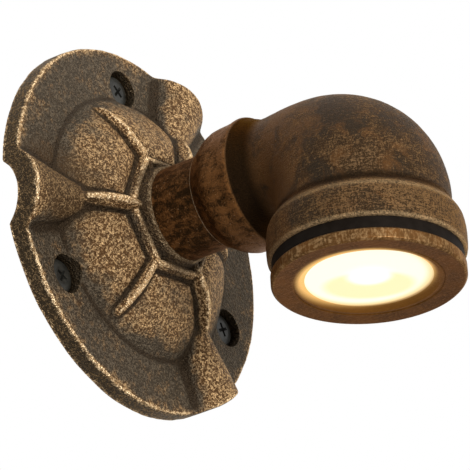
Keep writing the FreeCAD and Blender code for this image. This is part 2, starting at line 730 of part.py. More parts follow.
def driverCase():
    """Round plastic case on the heat sink, with a wire inlet on the pipe's axis."""
    case = turned("DriverCaseShell", [
        (0, "-driverTop"),
        ("driverRadius - rimChamfer", "-driverTop"),
        ("driverRadius", "-driverTop + rimChamfer"),
        ("driverRadius", driverFoot + " - driverLid"),
        ("driverRadius - driverWall", driverFoot + " - driverLid"),
        ("driverRadius - driverWall", "-driverTop + driverWall"),
        (0, "-driverTop + driverWall"),
    ], aboutLamp=True)
    inlet = rod("DriverInlet", "inletRadius", "elbowReach - driverRadius - inletReach",
                "elbowReach - driverRadius + driverWall")
    trimmed = common("DriverInletTrimmed", [inlet, place(
        made("Part::Box", "InletTrim", Length="4 * inletRadius", Width="4 * inletRadius + inletReach",
             Height="inletRadius + driverTop"),
        x="-2 * inletRadius", y="-(elbowReach - driverRadius + driverWall + inletRadius)",
        z="-inletRadius")])
    mouth = rod("DriverInletBore", "inletBore", "elbowReach - driverRadius - inletReach * 2",
                "elbowReach - driverRadius + driverWall * 2")
    return cut("DriverCase", fused("DriverCaseWhole", [case, trimmed]), mouth)


def driverLid():
    disc = rod("DriverLidDisc", "driverRadius", driverFoot + " - driverLid", driverFoot, aboutLamp=True)
    holes = []
    for side in (-1, 1):
        holes.append(rod("DriverLidHole%d" % (side + 2), "ledLeadHole", driverFoot + " - driverLid * 2",
                         driverFoot + " + driverLid", x="%d * ledLeadOffset" % side, z="ledLeadSet",
                         aboutLamp=True))
    return cut("DriverLid", disc, *holes)


def driverBoard():
    board = made("Part::Box", "DriverBoard", Length="driverBoardWidth", Width="driverBoardThickness",
                 Height="driverBoardHeight")
    return place(board, x="-driverBoardWidth / 2", y="-elbowReach - driverBoardThickness",
                 z="-(%s - driverLid)" % driverFoot)


def driverPart(name, radius, height, x, depth):
    """Round component standing out from the driver's board, on its -Y side."""
    item = made("Part::Cylinder", name, Radius=radius, Height=height)
    return place(item, x=x, y="-elbowReach - driverBoardThickness", z="-(%s)" % depth, **OUT)


# Connections in the flange's hollow back -------------------------------------------

def connectors():
    """Three push-in connectors side by side above the pipe, each with two holes."""
    blocks = []
    for index in (-1, 0, 1):
        block = made("Part::Box", "ConnectorBlock%d" % (index + 2), Length="connectorWidth",
                     Width="connectorHeight", Height="connectorLength")
        place(block, x="%d * (connectorWidth + connectorGap) - connectorWidth / 2" % index,
              y="-cavityDepth", z=connectorRow + " - connectorLength / 2")
        hole = made("Part::Cylinder", "ConnectorHole%d" % (index + 2),
                    Radius="leadRadius + swivelClearance",
                    Height="connectorLength / 2")
        place(hole, x="%d * (connectorWidth + connectorGap)" % index,
              y="-cavityDepth + connectorHeight / 2", z=connectorRow + " - connectorLength / 2 - reach")
        supply = made("Part::Cylinder", "SupplyHole%d" % (index + 2),
                      Radius="leadRadius + swivelClearance",
                      Height="connectorLength / 3")
        place(supply, x="%d * (connectorWidth + connectorGap)" % index,
              y="-cavityDepth + connectorHeight / 2",
              z=connectorRow + " + connectorLength / 6 + reach")
        blocks.append(cut("Connector%d" % (index + 2), block, hole, supply))
    return group("Connectors", blocks)


def earthScrew():
    top = "cavityDepth - earthBossHeight - lugThickness"
    blank = turned("EarthScrewBlank", [
        (0, top + " - earthScrewHeadHeight"),
        ("earthScrewHead * headTaper", top + " - earthScrewHeadHeight"),
        ("earthScrewHead", top + " - earthScrewHeadHeight / 2"),
        ("earthScrewHead", top),
        ("earthScrewShank", top),
        ("earthScrewShank", "cavityDepth + ridgeRadius - boardClearance"),
        (0, "cavityDepth + ridgeRadius - boardClearance"),
    ])
    slot = made("Part::Box", "EarthSlot", Length="2 * (earthScrewHead + reach)",
                Width="earthScrewHeadHeight * 2", Height="lugThickness")
    place(slot, x="-earthScrewHead - reach",
          y="-(%s - earthScrewHeadHeight / 2)" % top, z="-lugThickness / 2")
    return place(cut("EarthScrew", blank, slot), z="-earthScrewPlace")


def earthLug():
    """Ring under the screw's head, with a barrel crimped on the earth lead."""
    top = "cavityDepth - earthBossHeight - lugThickness"
    ring = rod("LugRing", "lugRadius", top, top + " + lugThickness")
    tongue = made("Part::Box", "LugTongue", Length="2 * leadRadius", Width="lugThickness",
                  Height="lugBarrelEnd - lugBarrel + lugThickness")
    place(tongue, x="-leadRadius", y="-(%s + lugThickness)" % top)
    barrel = made("Part::Cylinder", "LugBarrel", Radius="leadRadius + lugThickness", Height="lugBarrel")
    place(barrel, y="-(%s + lugThickness / 2)" % top, z="lugBarrelEnd - lugBarrel")
    grip = made("Part::Cylinder", "LugGrip", Radius="leadRadius + threadClearance",
                Height="lugBarrel + reach")
    place(grip, y="-(%s + lugThickness / 2)" % top, z="lugBarrelEnd - lugBarrel")
    hole = rod("LugHole", "earthScrewShank + boardClearance", top + " - reach",
               top + " + lugThickness + reach")
    return place(cut("EarthLug", fused("LugBlank", [ring, tongue, barrel]), hole, grip),
                 z="-earthScrewPlace")


# Leads -------------------------------------------------------------------------------

connectorHole = "-cavityDepth + connectorHeight / 2"
connectorFoot = connectorRow + " - connectorLength / 2"


def supplyRoute(side):
    """From a connector over the bush's mouth and along the pipe into the driver."""
    column = "%d * (connectorWidth + connectorGap)" % side
    strand = "%d * leadSpacing" % side
    return [
        (column, connectorHole, connectorFoot + " + connectorGrip"),
        (column, connectorHole, connectorFoot + " - leadRadius"),
        ("%d * leadApproach" % side, "-leadHollow", "leadRadius"),
        (strand, "-leadEntry", 0),
        (strand, "-(elbowReach - driverRadius - inletReach + leadLanding)", 0),
    ]


def earthRoute():
    """From the middle connector straight across the pipe's mouth to the lug."""
    barrel = "-(cavityDepth - earthBossHeight - lugThickness / 2)"
    barrelEnd = "lugBarrelEnd - earthScrewPlace"
    return [
        (0, connectorHole, connectorFoot + " + connectorGrip"),
        (0, connectorHole, connectorFoot + " - leadRadius"),
        (0, "-leadHollow - leadRadius / 2", "nippleRadius / 3"),
        (0, "-leadHollow - leadRadius / 2", "-nippleRadius / 3"),
        (0, barrel, barrelEnd),
        (0, barrel, barrelEnd + " - lugBarrel + lugThickness"),
    ]


def lampRoute(side):
    """From beside the driver's board straight down to the lit board's face."""
    column = "%d * ledLeadOffset" % side
    foot = "%s - driverLid" % driverFoot
    return [
        (column, "-elbowReach + ledLeadSet", "-(%s - ledLeadTail)" % foot),
        (column, "-elbowReach + ledLeadSet", "-(%s)" % boardFace),
    ]


# Assembly ----------------------------------------------------------------------------

node(castFlange(), "wall_flange")
node(wallScrews(), "wall_screws")
node(pipeNipple(), "pipe_nipple")
node(wireBush(), "wire_bush")
node(connectors(), "push_in_connectors")
node(earthScrew(), "earth_screw")
node(earthLug(), "earth_lug")
leadNode("LiveLead", "live_lead", [supplyRoute(-1)], "leadRadius")
leadNode("NeutralLead", "neutral_lead", [supplyRoute(1)], "leadRadius")
leadNode("EarthLead", "earth_lead", [earthRoute()], "leadRadius")

node(reducingElbow(), "reducing_elbow")
node(lampHousing(), "lamp_housing")
node(boardBlank("ThermalPad", "padRadius", boardBack, "padThickness"), "thermal_pad")
node(boardBlank("LedBoard", "boardRadius", boardTop, "boardThickness"), "led_board")
node(rod("LedChip", "chipRadius", boardFace, boardFace + " + chipThickness", aboutLamp=True),
     "led_chip")
node(boardScrews(), "board_screws")
node(reflector(), "reflector")
node(lensGasket(), "lens_gasket")
node(lens(), "lens")
node(bezelRing(), "bezel_ring")
node(driverCase(), "driver_case")
node(driverLid(), "driver_lid")
node(driverBoard(), "driver_board")
coilDepth = driverFoot + " - driverLid - coilRadius - reach"
node(driverPart("DriverCoil", "coilRadius", "coilHeight", 0, coilDepth), "driver_transformer")
node(driverPart("DriverCapacitor", "capacitorRadius", "capacitorHeight", 0,
                coilDepth + " - coilRadius - capacitorRadius - reach"), "driver_capacitor")
leadNode("LampLeads", "lamp_leads", [lampRoute(-1), lampRoute(1)], "ledLeadRadius")

doc.recompute()

failed = [item.Label for item in doc.Objects if "Invalid" in item.State or "Error" in item.State]
for item in nodes:
    shape = item.Shape
    if shape.isNull() or not shape.isValid() or not shape.Solids:
        failed.append(item.Label)
if failed:
    raise SystemExit("not built: " + ", ".join(failed))

os.makedirs("parts", exist_ok=True)
for item in nodes:
    item.Shape.exportStep("parts/%s.step" % item.Label)
    print("%-20s %2d solids %10.1f mm3" % (item.Label, len(item.Shape.Solids), item.Shape.Volume))
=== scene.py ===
import math

import bmesh
import bpy
import numpy as np
from mathutils import Matrix, Vector, noise


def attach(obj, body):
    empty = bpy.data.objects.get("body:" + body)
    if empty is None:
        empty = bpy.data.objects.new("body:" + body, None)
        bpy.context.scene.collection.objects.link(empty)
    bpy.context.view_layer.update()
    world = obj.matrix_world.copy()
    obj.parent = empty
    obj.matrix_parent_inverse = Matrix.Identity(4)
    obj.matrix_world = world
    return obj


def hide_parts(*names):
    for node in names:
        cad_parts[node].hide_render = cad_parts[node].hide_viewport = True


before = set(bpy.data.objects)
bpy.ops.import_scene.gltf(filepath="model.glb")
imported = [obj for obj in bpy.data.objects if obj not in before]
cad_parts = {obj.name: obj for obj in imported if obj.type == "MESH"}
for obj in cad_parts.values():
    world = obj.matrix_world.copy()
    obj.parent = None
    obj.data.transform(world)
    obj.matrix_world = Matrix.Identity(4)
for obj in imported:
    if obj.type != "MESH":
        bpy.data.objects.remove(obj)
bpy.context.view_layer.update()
mm = 0.001
lampAxis = -80.9  # Y of the lamp's axis; sizes of the light's pieces are in millimetres
beadEnd = 48.9  # how far from the wall the elbow's bead ends
print("frame loaded")

# Camera: left of the light and below it, looking up, as the photograph was taken
cameraSettings = {
    "distance": 1312.15,
    "azimuth": -54.636,
    "elevation": -26.309,
    "roll": -3.325,
    "focalPixels": 4767.75,
    "photoWidth": 470,
    "sensorWidth": 36.0,
    "aim": (0.0, -40.0, 0.0),
    "aimRight": -1.071,
    "aimUp": -11.874,
}


def placeCamera(settings):
    azimuth, elevation, roll = (math.radians(settings[key]) for key in ("azimuth", "elevation", "roll"))
    back = Vector((math.sin(azimuth) * math.cos(elevation), -math.cos(azimuth) * math.cos(elevation),
                   math.sin(elevation)))
    level = (-back).cross(Vector((0, 0, 1))).normalized()
    upright = level.cross(-back)
    right = level * math.cos(roll) + upright * math.sin(roll)
    up = upright * math.cos(roll) - level * math.sin(roll)
    target = Vector(settings["aim"]) + right * settings["aimRight"] + up * settings["aimUp"]
    data = bpy.data.cameras.new("photoCamera")
    data.sensor_width = settings["sensorWidth"]
    data.lens = settings["focalPixels"] * settings["sensorWidth"] / settings["photoWidth"]
    data.clip_start = 0.05
    data.clip_end = 20
    camera = bpy.data.objects.new("photoCamera", data)
    bpy.context.collection.objects.link(camera)
    turn = Matrix((right, up, back)).transposed().to_4x4()
    camera.matrix_world = Matrix.Translation((target + back * settings["distance"]) * mm) @ turn
    bpy.context.scene.camera = camera
    return right, up, back


cameraRight, cameraUp, cameraBack = placeCamera(cameraSettings)
bpy.context.scene.view_settings.view_transform = "Standard"


# A socket that can be used in sums; each operation adds a Math node
class Wire:
    def __init__(self, maker, socket):
        self.maker = maker
        self.socket = socket

    def math(self, operation, *values):
        return self.maker.node("ShaderNodeMath", {"operation": operation}, dict(enumerate(values)))

    def __add__(self, other):
        return self.math("ADD", self, other)

    def __sub__(self, other):
        return self.math("SUBTRACT", self, other)

    def __rsub__(self, other):
        return self.math("SUBTRACT", other, self)

    def __mul__(self, other):
        return self.math("MULTIPLY", self, other)

    def __truediv__(self, other):
        return self.math("DIVIDE", self, other)

    def __rtruediv__(self, other):
        return self.math("DIVIDE", other, self)

    def __pow__(self, other):
        return self.math("POWER", self, other)

    def __neg__(self):
        return self.math("MULTIPLY", self, -1.0)

    __radd__ = __add__
    __rmul__ = __mul__

    def high(self, other, soft=0.0):
        return self.math("SMOOTH_MAX", self, other, soft) if soft else self.math("MAXIMUM", self, other)

    def low(self, other, soft=0.0):
        return self.math("SMOOTH_MIN", self, other, soft) if soft else self.math("MINIMUM", self, other)

    def root(self):
        return self.math("SQRT", self.high(0.0))

    def exponential(self):
        return self.math("EXPONENT", self)

    def wrapped(self, span):
        return self.math("FLOORED_MODULO", self, span)

    def size(self):
        return self.math("ABSOLUTE", self)

    def cosine(self):
        return self.math("COSINE", self)

    def sine(self):
        return self.math("SINE", self)

    def steps(self, low, high, toLow=0.0, toHigh=1.0):
        return self.maker.node("ShaderNodeMapRange", {"interpolation_type": "SMOOTHSTEP", "clamp": True},
                               {"Value": self, "From Min": low, "From Max": high, "To Min": toLow,
                                "To Max": toHigh}, out="Result")


class Maker:
    def __init__(self, tree):
        self.tree = tree

    # One way in for every node: its type, its settings, then what goes into its sockets
    def node(self, kind, settings=None, sockets=None, out=0):
        node = self.tree.nodes.new(kind)
        for name, value in (settings or {}).items():
            setattr(node, name, value)
        for name, value in (sockets or {}).items():
            self.feed(self.find(node.inputs, name), value)
        if not node.outputs:
            return node
        return Wire(self, self.find(node.outputs, out))

    def find(self, sockets, name):
        if isinstance(name, int):
            return sockets[name]
        usable = [socket for socket in sockets if socket.name == name and socket.enabled]
        return usable[0] if usable else sockets[name]

    def feed(self, socket, value):
        if isinstance(value, Wire):
            self.tree.links.new(value.socket, socket)
        elif isinstance(value, (list, tuple)) and len(value) == 3 and socket.type == "RGBA":
            socket.default_value = (*value, 1.0)
        else:
            socket.default_value = value

    def blend(self, factor, low, high):
        return self.node("ShaderNodeMix", {"data_type": "RGBA"}, {"Factor": factor, 6: low, 7: high}, out=2)

    def noise(self, place, scale, detail=3.0, rough=0.55, distort=0.0):
        return self.node("ShaderNodeTexNoise", None, {"Vector": place, "Scale": scale, "Detail": detail,
                                                      "Roughness": rough, "Distortion": distort})

    def stretched(self, place, scale, turn=(0, 0, 0), move=(0, 0, 0)):
        return self.node("ShaderNodeMapping", None, {"Vector": place, "Location": move, "Rotation": turn,
                                                     "Scale": scale})

    def mark(self, name):
        return self.node("ShaderNodeAttribute", {"attribute_name": name}, out="Fac")

    def parts(self, place, axes="XYZ"):
        return [self.node("ShaderNodeSeparateXYZ", None, {"Vector": place}, out=axis) for axis in axes]

    def joined(self, x=0.0, y=0.0, z=0.0):
        return self.node("ShaderNodeCombineXYZ", None, {"X": x, "Y": y, "Z": z})

    # distance from the upright axis
    def fromAxis(self, place):
        flat = self.node("ShaderNodeVectorMath", {"operation": "MULTIPLY"}, {0: place, 1: (1, 1, 0)})
        return self.node("ShaderNodeVectorMath", {"operation": "LENGTH"}, {0: flat}, out="Value")


def span(x, y):
    return (x * x + y * y).root()


def startMaterial(name):
    material = bpy.data.materials.new(name)
    material.use_nodes = True
    material.node_tree.nodes.clear()
    maker = Maker(material.node_tree)
    place = maker.node("ShaderNodeTexCoord", out="Object")
    place = maker.node("ShaderNodeVectorMath", {"operation": "SCALE"}, {"Vector": place, "Scale": 1000.0})
    return material, maker, place


def endMaterial(maker, sockets, bump=None, bumpDepth=0.1):
    if bump is not None:
        sockets["Normal"] = maker.node("ShaderNodeBump", None,
                                       {"Strength": 1.0, "Distance": bumpDepth * mm, "Height": bump})
    shader = maker.node("ShaderNodeBsdfPrincipled", None, sockets)
    maker.node("ShaderNodeOutputMaterial", None, {"Surface": shader})


# Meshes

def meshFrom(name, points, faces, smoothAngle=35):
    mesh = bpy.data.meshes.new(name)
    mesh.from_pydata(points, [], faces)
    mesh.update()
    return finishMesh(name, mesh, smoothAngle)


def finishMesh(name, mesh, smoothAngle=35):
    piece = bpy.data.objects.new(name, mesh)
    bpy.context.collection.objects.link(piece)
    mesh.polygons.foreach_set("use_smooth", [True] * len(mesh.polygons))
    mesh.set_sharp_from_angle(angle=math.radians(smoothAngle))
    return piece


def ringMesh(name, rings, closed=True, smoothAngle=35):
    # rings of equal length joined into a skin; a ring of one point is a pole
    points = []
    starts = []
    for ring in rings:
        starts.append(len(points))
        points.extend(tuple(point) for point in ring)
    count = max(len(ring) for ring in rings)
    faces = []
    last = len(rings) if closed else len(rings) - 1
    for index in range(last):
        following = (index + 1) % len(rings)
        here, there = starts[index], starts[following]
        if len(rings[index]) == len(rings[following]) == 1:
            continue
        for step in range(count):
            other = (step + 1) % count
            if len(rings[index]) == 1:
                faces.append((here, there + other, there + step))
            elif len(rings[following]) == 1:
                faces.append((here + step, here + other, there))
            else:
                faces.append((here + step, here + other, there + other, there + step))
    mesh = bpy.data.meshes.new(name)
    mesh.from_pydata(points, [], faces)
    work = bmesh.new()
    work.from_mesh(mesh)
    bmesh.ops.recalc_face_normals(work, faces=work.faces)
    work.to_mesh(mesh)
    work.free()
    return finishMesh(name, mesh, smoothAngle)


def softened(corners, steps=5):
    # corners of (radius, depth, rounding) with each corner rounded off
    result = []
    count = len(corners)
    for index, (radius, depth, rounding) in enumerate(corners):
        corner = Vector((radius, depth))
        if rounding == 0:
            result.append(corner)
            continue
        before = Vector(corners[index - 1][:2]) - corner
        after = Vector(corners[(index + 1) % count][:2]) - corner
        half = before.angle(after) / 2
        length = min(rounding / math.tan(half), 0.45 * before.length, 0.45 * after.length)
        first = corner + before.normalized() * length
        final = corner + after.normalized() * length
        for step in range(steps + 1):
            t = step / steps
            result.append(first * (1 - t) ** 2 + corner * 2 * t * (1 - t) + final * t ** 2)
    return result


def divided(profile, longest):
    # long stretches get points between, so that wear can follow their edges
    result = []
    for index, spot in enumerate(profile):
        following = profile[(index + 1) % len(profile)]
        onAxis = max(spot.x, following.x) < 1e-4
        parts = 1 if onAxis else max(1, math.ceil((following - spot).length / longest))
        result.extend(spot.lerp(following, part / parts) for part in range(parts))
    return result


def lathe(name, shape, about, smoothAngle=35):
    # a closed profile turned about the pipe's or the lamp's axis
    rings = []
    for radius, depth in divided(softened(shape["corners"]), shape["longest"]):
        ring = []
        for step in range(1 if radius < 1e-4 else shape["segments"]):
            turn = 2 * math.pi * step / shape["segments"]
            across, along = radius * math.cos(turn), radius * math.sin(turn)
            if about == "pipe":
                ring.append(Vector((across, -depth, along)) * mm)
            else:
                ring.append(Vector((across, lampAxis + along, -depth)) * mm)
        rings.append(ring)
    return ringMesh(name, rings, True, smoothAngle)


def readMesh(mesh):
    # points in millimetres, and their normals
    spots = np.empty(len(mesh.vertices) * 3)
    normals = np.empty(len(mesh.vertices) * 3)
    mesh.vertices.foreach_get("co", spots)
    mesh.vertex_normals.foreach_get("vector", normals)
    return spots.reshape(-1, 3) / mm, normals.reshape(-1, 3)


def writeMark(mesh, label, values):
    layer = mesh.attributes.get(label) or mesh.attributes.new(label, "FLOAT", "POINT")
    layer.data.foreach_set("value", np.clip(values, 0, 1).astype(np.float32))


def markEdges(piece, width, passes=3, broad=0, broadDepth=1.0):
    # how sharply each point bends out (edge) or in (hollow), and how far it stands proud (swell)
    mesh = piece.data
    count = len(mesh.vertices)
    spots, normals = readMesh(mesh)
    pairs = np.empty(len(mesh.edges) * 2, dtype=np.int64)
    mesh.edges.foreach_get("vertices", pairs)
    first, second = pairs.reshape(-1, 2).T
    gap = spots[second] - spots[first]
    length = np.maximum(np.linalg.norm(gap, axis=1), 1e-4)
    bend = np.einsum("ij,ij->i", normals[second] - normals[first], gap) / length ** 2

    def gathered(towardFirst, towardSecond):
        return np.bincount(first, towardFirst, count) + np.bincount(second, towardSecond, count)

    amount = gathered(bend * length, bend * length) / np.maximum(gathered(length, length), 1e-6)
    amount = np.clip(amount, -3 / width, 3 / width)
    near = np.maximum(gathered(np.ones(len(first)), np.ones(len(first))), 1)
    for turn in range(passes):
        amount = 0.4 * amount + 0.6 * gathered(amount[second], amount[first]) / near
    swell = np.full(count, 0.5)
    if broad:
        weight = 1 / length
        total = np.maximum(gathered(weight, weight), 1e-6)
        smooth = spots.copy()
        for turn in range(broad):
            for axis in range(3):
                values = smooth[:, axis]
                spread = gathered(values[second] * weight, values[first] * weight) / total
                smooth[:, axis] = 0.3 * values + 0.7 * spread
        swell = 0.5 + 0.5 * np.einsum("ij,ij->i", spots - smooth, normals) / broadDepth
    writeMark(mesh, "edge", amount * width)
    writeMark(mesh, "hollow", -amount * width)
    writeMark(mesh, "swell", swell)


def markPaintedRimShade(piece, start, shape):
    # painted shade mask: 1 where the surface beyond this radius faces away from the pipe's axis, and a
    # little less in the screw seats, whose edges also get less wear
    mesh = piece.data
    spots, normals = (values[:, ::2] for values in readMesh(mesh))
    reach = np.linalg.norm(spots, axis=1)
    facing = np.einsum("ij,ij->i", spots, normals) / reach
    facing = np.clip((facing - 0.7) * 5, 0, 1) * (reach > start)
    edge = np.empty(len(mesh.vertices), dtype=np.float32)
    mesh.attributes["edge"].data.foreach_get("value", edge)
    for index in range(3):
        angle = math.radians(shape["Arch Angle"] + shape["Screw Turn"] + 120 * index)
        middle = np.array([math.cos(angle), math.sin(angle)]) * shape["Screw Circle"]
        gap = np.linalg.norm(spots - middle, axis=1)
        facing = np.where(gap < shape["Seat Radius"] + 0.1, 0.8, facing)
        edge = np.where(gap < shape["Seat Radius"] + 0.6, edge * 0.3, edge)
    writeMark(mesh, "edge", edge)
    writeMark(mesh, "rim", facing)


def roughen(piece, depth, size, seed=0.0):
    # the slight unevenness of a sand casting, along the surface's normals
    mesh = piece.data
    normals = [vertex.normal.copy() for vertex in mesh.vertices]
    shift = Vector((seed, seed * 1.7, seed * 2.3))
    for vertex, normal in zip(mesh.vertices, normals):
        spot = vertex.co / (size * mm) + shift
        vertex.co += normal * (noise.noise(spot) + 0.5 * noise.noise(spot * 2.1)) * depth * mm
    mesh.update()


def addPiece(piece, body, material, replaced=()):
    if material is not None:
        piece.data.materials.clear()
        piece.data.materials.append(material)
    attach(piece, body)
    if replaced:
        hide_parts(*replaced)


def flatten(piece):
    # the evaluated shape as a plain mesh, with its modifiers gone
    seen = piece.evaluated_get(bpy.context.evaluated_depsgraph_get())
    mesh = bpy.data.meshes.new_from_object(seen)
    name = piece.name
    bpy.data.objects.remove(piece)
    mesh.name = name
    return mesh


# Finishes

def castBronze(name, look):
    material, maker, place = startMaterial(name)
    edge, hollow, swell, rim = (maker.mark(label) for label in ("edge", "hollow", "swell", "rim"))
    cell = maker.noise(place, look["grain"], 1.5, 0.5, 0.7)
    fine = maker.noise(place, look["grain"] * 2.6, 3.0, 0.65)
    pebble = maker.node("ShaderNodeTexVoronoi", {"feature": "SMOOTH_F1"}, {
        "Vector": place, "Scale": look["grain"] * 1.5, "Smoothness": 0.45}, out="Distance")
    patch = maker.noise(place, 0.10, 3.0, 0.6)
    x, y, z = maker.parts(place)
    # painted shade: the hub cone round the nipple takes the near-black shade colour and less edge wear
    paintedHubShade = span(x, z).steps(*look["paintedHubShadeRange"])
    cloud = maker.noise(place, 0.4, 3.0, 0.6)
    high = ((0.5 - pebble) * 0.7 + (cell - 0.5) * 1.5 + (fine - 0.5) * 1.0).steps(-0.16, 0.3)
    raised = (-y).steps(*look["raisedRange"]) * 0.45
    unrubbed = span(x - look["unrubbedAt"][0], z - look["unrubbedAt"][1]).steps(*look["unrubbedRange"])
    bulge = (raised + swell + (patch - 0.5) * 1.1 + (cloud - 0.5) * 0.4).steps(0.5, 1.05)
    # painted shade in the creases and hollows, and where the surface sits below its surroundings
    paintedCreaseShade = (hollow * 1.9 + (0.5 - swell).high(0.0) * 2.8 + (cloud - 0.5) * 0.4).steps(0.22, 0.85)
    worn = (edge * 3.0 + high * 0.2 + (cloud - 0.5) * 0.7 - 0.5).steps(0.15, 0.85) * (1.0 - paintedHubShade * 0.85)
    low = maker.blend(bulge, look["flatLow"], look["bulgeLow"])
    top = maker.blend(bulge, look["flatHigh"], look["bulgeHigh"])
    top = maker.blend(cloud.steps(0.5, 0.75) * 0.6, top, look["copper"])
    colour = maker.blend(high, low, top)
    colour = maker.blend(unrubbed * (1.0 - high * 0.4) * 0.9, colour, look["bulgeDark"])
    colour = maker.blend(paintedCreaseShade.high(paintedHubShade) * 0.85, colour, look["paintedShade"])
    # painted shade on the rim's outer side and in the screw seats
    colour = maker.blend(rim * (0.95 - high * 0.25), colour, look["paintedRimShade"])
    colour = maker.blend(worn * look["edgeWear"], colour, maker.blend(high, look["edgeLow"], look["gold"]))
    gold = (high * bulge * 0.7).high(worn)
    endMaterial(maker, {
        "Base Color": colour,
        "Metallic": gold * 0.55 + 0.25,
        "Roughness": 0.52 - gold * 0.16 + cloud * 0.06,
        "Specular IOR Level": 0.35,
        "Specular Tint": look["tint"],
    }, bump=cell * 0.8 + fine * 0.4 - pebble * 0.8, bumpDepth=look["bumpDepth"])
    return material


# the near-black colours here are painted shade: one for the creases and the hub cone, one for the rim's
# outer side and the screw seats
flangeLook = {
    "grain": 1.25, "edgeWear": 0.9, "bumpDepth": 0.55, "tint": (1.0, 0.72, 0.42),
    "paintedHubShadeRange": (18.0, 15.6), "raisedRange": (5.0, 13.0),
    "unrubbedAt": (-40.0, -1.0), "unrubbedRange": (17.0, 8.0),
    "flatLow": (0.028, 0.021, 0.014), "flatHigh": (0.104, 0.080, 0.054),
    "bulgeLow": (0.080, 0.037, 0.013), "bulgeHigh": (0.56, 0.360, 0.175),
    "bulgeDark": (0.045, 0.024, 0.010),
    "paintedShade": (0.012, 0.007, 0.004), "copper": (0.24, 0.125, 0.048),
    "edgeLow": (0.46, 0.285, 0.135), "gold": (0.98, 0.74, 0.45), "paintedRimShade": (0.015, 0.010, 0.005),
}


def mottledBronze(name, look):
    material, maker, place = startMaterial(name)
    edge, hollow = (maker.mark(label) for label in ("edge", "hollow"))
    blotch = maker.noise(place, 0.34, 4.0, 0.62, 0.8)
    smear = maker.noise(maker.stretched(place, (0.5, 0.16, 0.5)), 1.0, 4.0, 0.6, 0.5)
    grain = maker.noise(place, 2.2, 4.0, 0.6)
    onBead = (-maker.parts(place, "Y")[0]).steps(*look["beadRange"])
    rust = (blotch * 0.5 + smear * 0.3 + grain * 0.36 + onBead * 0.07).steps(0.5, 0.72)
    worn = (edge * 1.3 + grain * 0.8 - 0.7).steps(0.2, 0.75)
    speck = grain.steps(0.66, 0.74) * rust.steps(0.1, 0.8)
    colour = maker.blend(rust, look["dark"], look["rust"])
    # painted shade in the hollows
    colour = maker.blend((hollow * 1.8).low(0.9), colour, look["paintedShade"])
    colour = maker.blend(worn.high(speck * 0.55), colour, look["gold"])
    endMaterial(maker, {
        "Base Color": colour,
        "Metallic": 0.75 - rust * 0.4,
        "Roughness": 0.46 - rust * 0.08 + grain * 0.08,
        "Specular IOR Level": 0.3,
        "Specular Tint": look["tint"],
    }, bump=grain * 0.5 + blotch * 0.8, bumpDepth=look["bumpDepth"])
    return material


# the near-black colour here is painted shade for the hollows
pipeLook = {
    "beadRange": (38.0, 43.0), "bumpDepth": 0.3, "tint": (1.0, 0.598, 0.285), "dark": (0.016, 0.008, 0.003),
    "rust": (0.143, 0.058, 0.017), "paintedShade": (0.005, 0.004, 0.003), "gold": (0.90, 0.72, 0.50),
}


def elbowBronze(name, look):
    material, maker, place = startMaterial(name)
    edge, hollow = (maker.mark(label) for label in ("edge", "hollow"))
    out, down = (-part for part in maker.parts(place, "YZ"))
    onBand = down.steps(*look["bandRange"])
    # paler away from the wall: partly rubbing, partly painted light on the lit front, with painted shade on
    # the neck by the wall
    front = out.steps(*look["frontWearAndPaintedLightRange"])
    # painted shadow on the recessed neck just past the bead, near black
    paintedNeckShade = out.steps(beadEnd, beadEnd + 0.5) * out.steps(*look["paintedNeckShadeFades"])
    cloud = maker.noise(place, 0.13, 4.0, 0.6, 0.6)
    patch = maker.noise(maker.stretched(place, (1, 1, 1), move=(31, 7, 19)), 0.085, 3.0, 0.55)
    grain = maker.noise(place, 2.2, 3.0, 0.62, 0.8)
    rows = maker.noise(maker.stretched(place, (0.4, 0.4, 2.6)), 1.0, 3.0, 0.62, 0.6)
    columns = maker.noise(maker.stretched(place, (2.0, 2.0, 0.4)), 1.0, 3.0, 0.6, 0.6)
    rub = front * 0.35 + onBand * 0.35 + patch.steps(0.38, 0.62) * 0.5 - hollow * 1.2
    pale = (grain * 0.44 + rows * 0.32 + columns * 0.24 + rub * 0.12 - 0.06).steps(0.51, 0.62)
    copper = (cloud * 0.75 + grain * 0.25 + (1.0 - front) * 0.18).steps(0.48, 0.68)
    worn = (edge * 1.25 + grain * 0.8 - 0.7).steps(0.2, 0.8)
    upperLip = down.steps(*look["upperLipStarts"]) * down.steps(*look["upperLipFades"])
    lips = down.steps(*look["lowerLipStarts"]) + upperLip * 0.7
    worn = worn.high(lips * (grain - 0.3) * 2.4 * (front * 0.5 + 0.5)).low(1.0)
    # painted shade along the crease where the bend meets the band
    paintedFootShade = down.steps(*look["paintedFootShadeStarts"]) * down.steps(*look["paintedFootShadeFades"]) * out.steps(*look["paintedFootShadeOut"])
    dark = maker.blend(patch.steps(0.56, 0.42), look["dark"], look["slate"])
    colour = maker.blend(copper * 0.8, dark, look["copper"])
    light = maker.blend(front * 0.7, look["tan"], look["pale"])
    light = maker.blend(onBand, light, look["bandPale"])
    colour = maker.blend(pale * 0.8, colour, light)
    speck = (grain * 0.6 + rows * 0.4).steps(0.5, 0.42) * onBand
    colour = maker.blend(speck * 0.75, colour, look["dark"])
    # painted shadow on the neck
    colour = maker.blend(paintedNeckShade * 0.9, colour, look["paintedNeckShade"])
    # painted shade in the hollows and along that crease
    paintedElbowShade = (hollow * 1.8).high(paintedFootShade * 0.8).low(0.9)
    colour = maker.blend(paintedElbowShade, colour, look["paintedShade"])
    colour = maker.blend(worn * 0.75, colour, look["gold"])
    endMaterial(maker, {
        "Base Color": colour,
        "Metallic": (pale.high(worn) * 0.45 + 0.3).high(paintedNeckShade.high(paintedElbowShade) * 0.95),
        "Roughness": 0.48 - pale * 0.12 + grain * 0.08,
        "Specular IOR Level": 0.3,
        "Specular Tint": look["tint"],
    }, bump=grain * 0.8 + rows * 0.5 + columns * 0.3, bumpDepth=look["bumpDepth"])
    return material


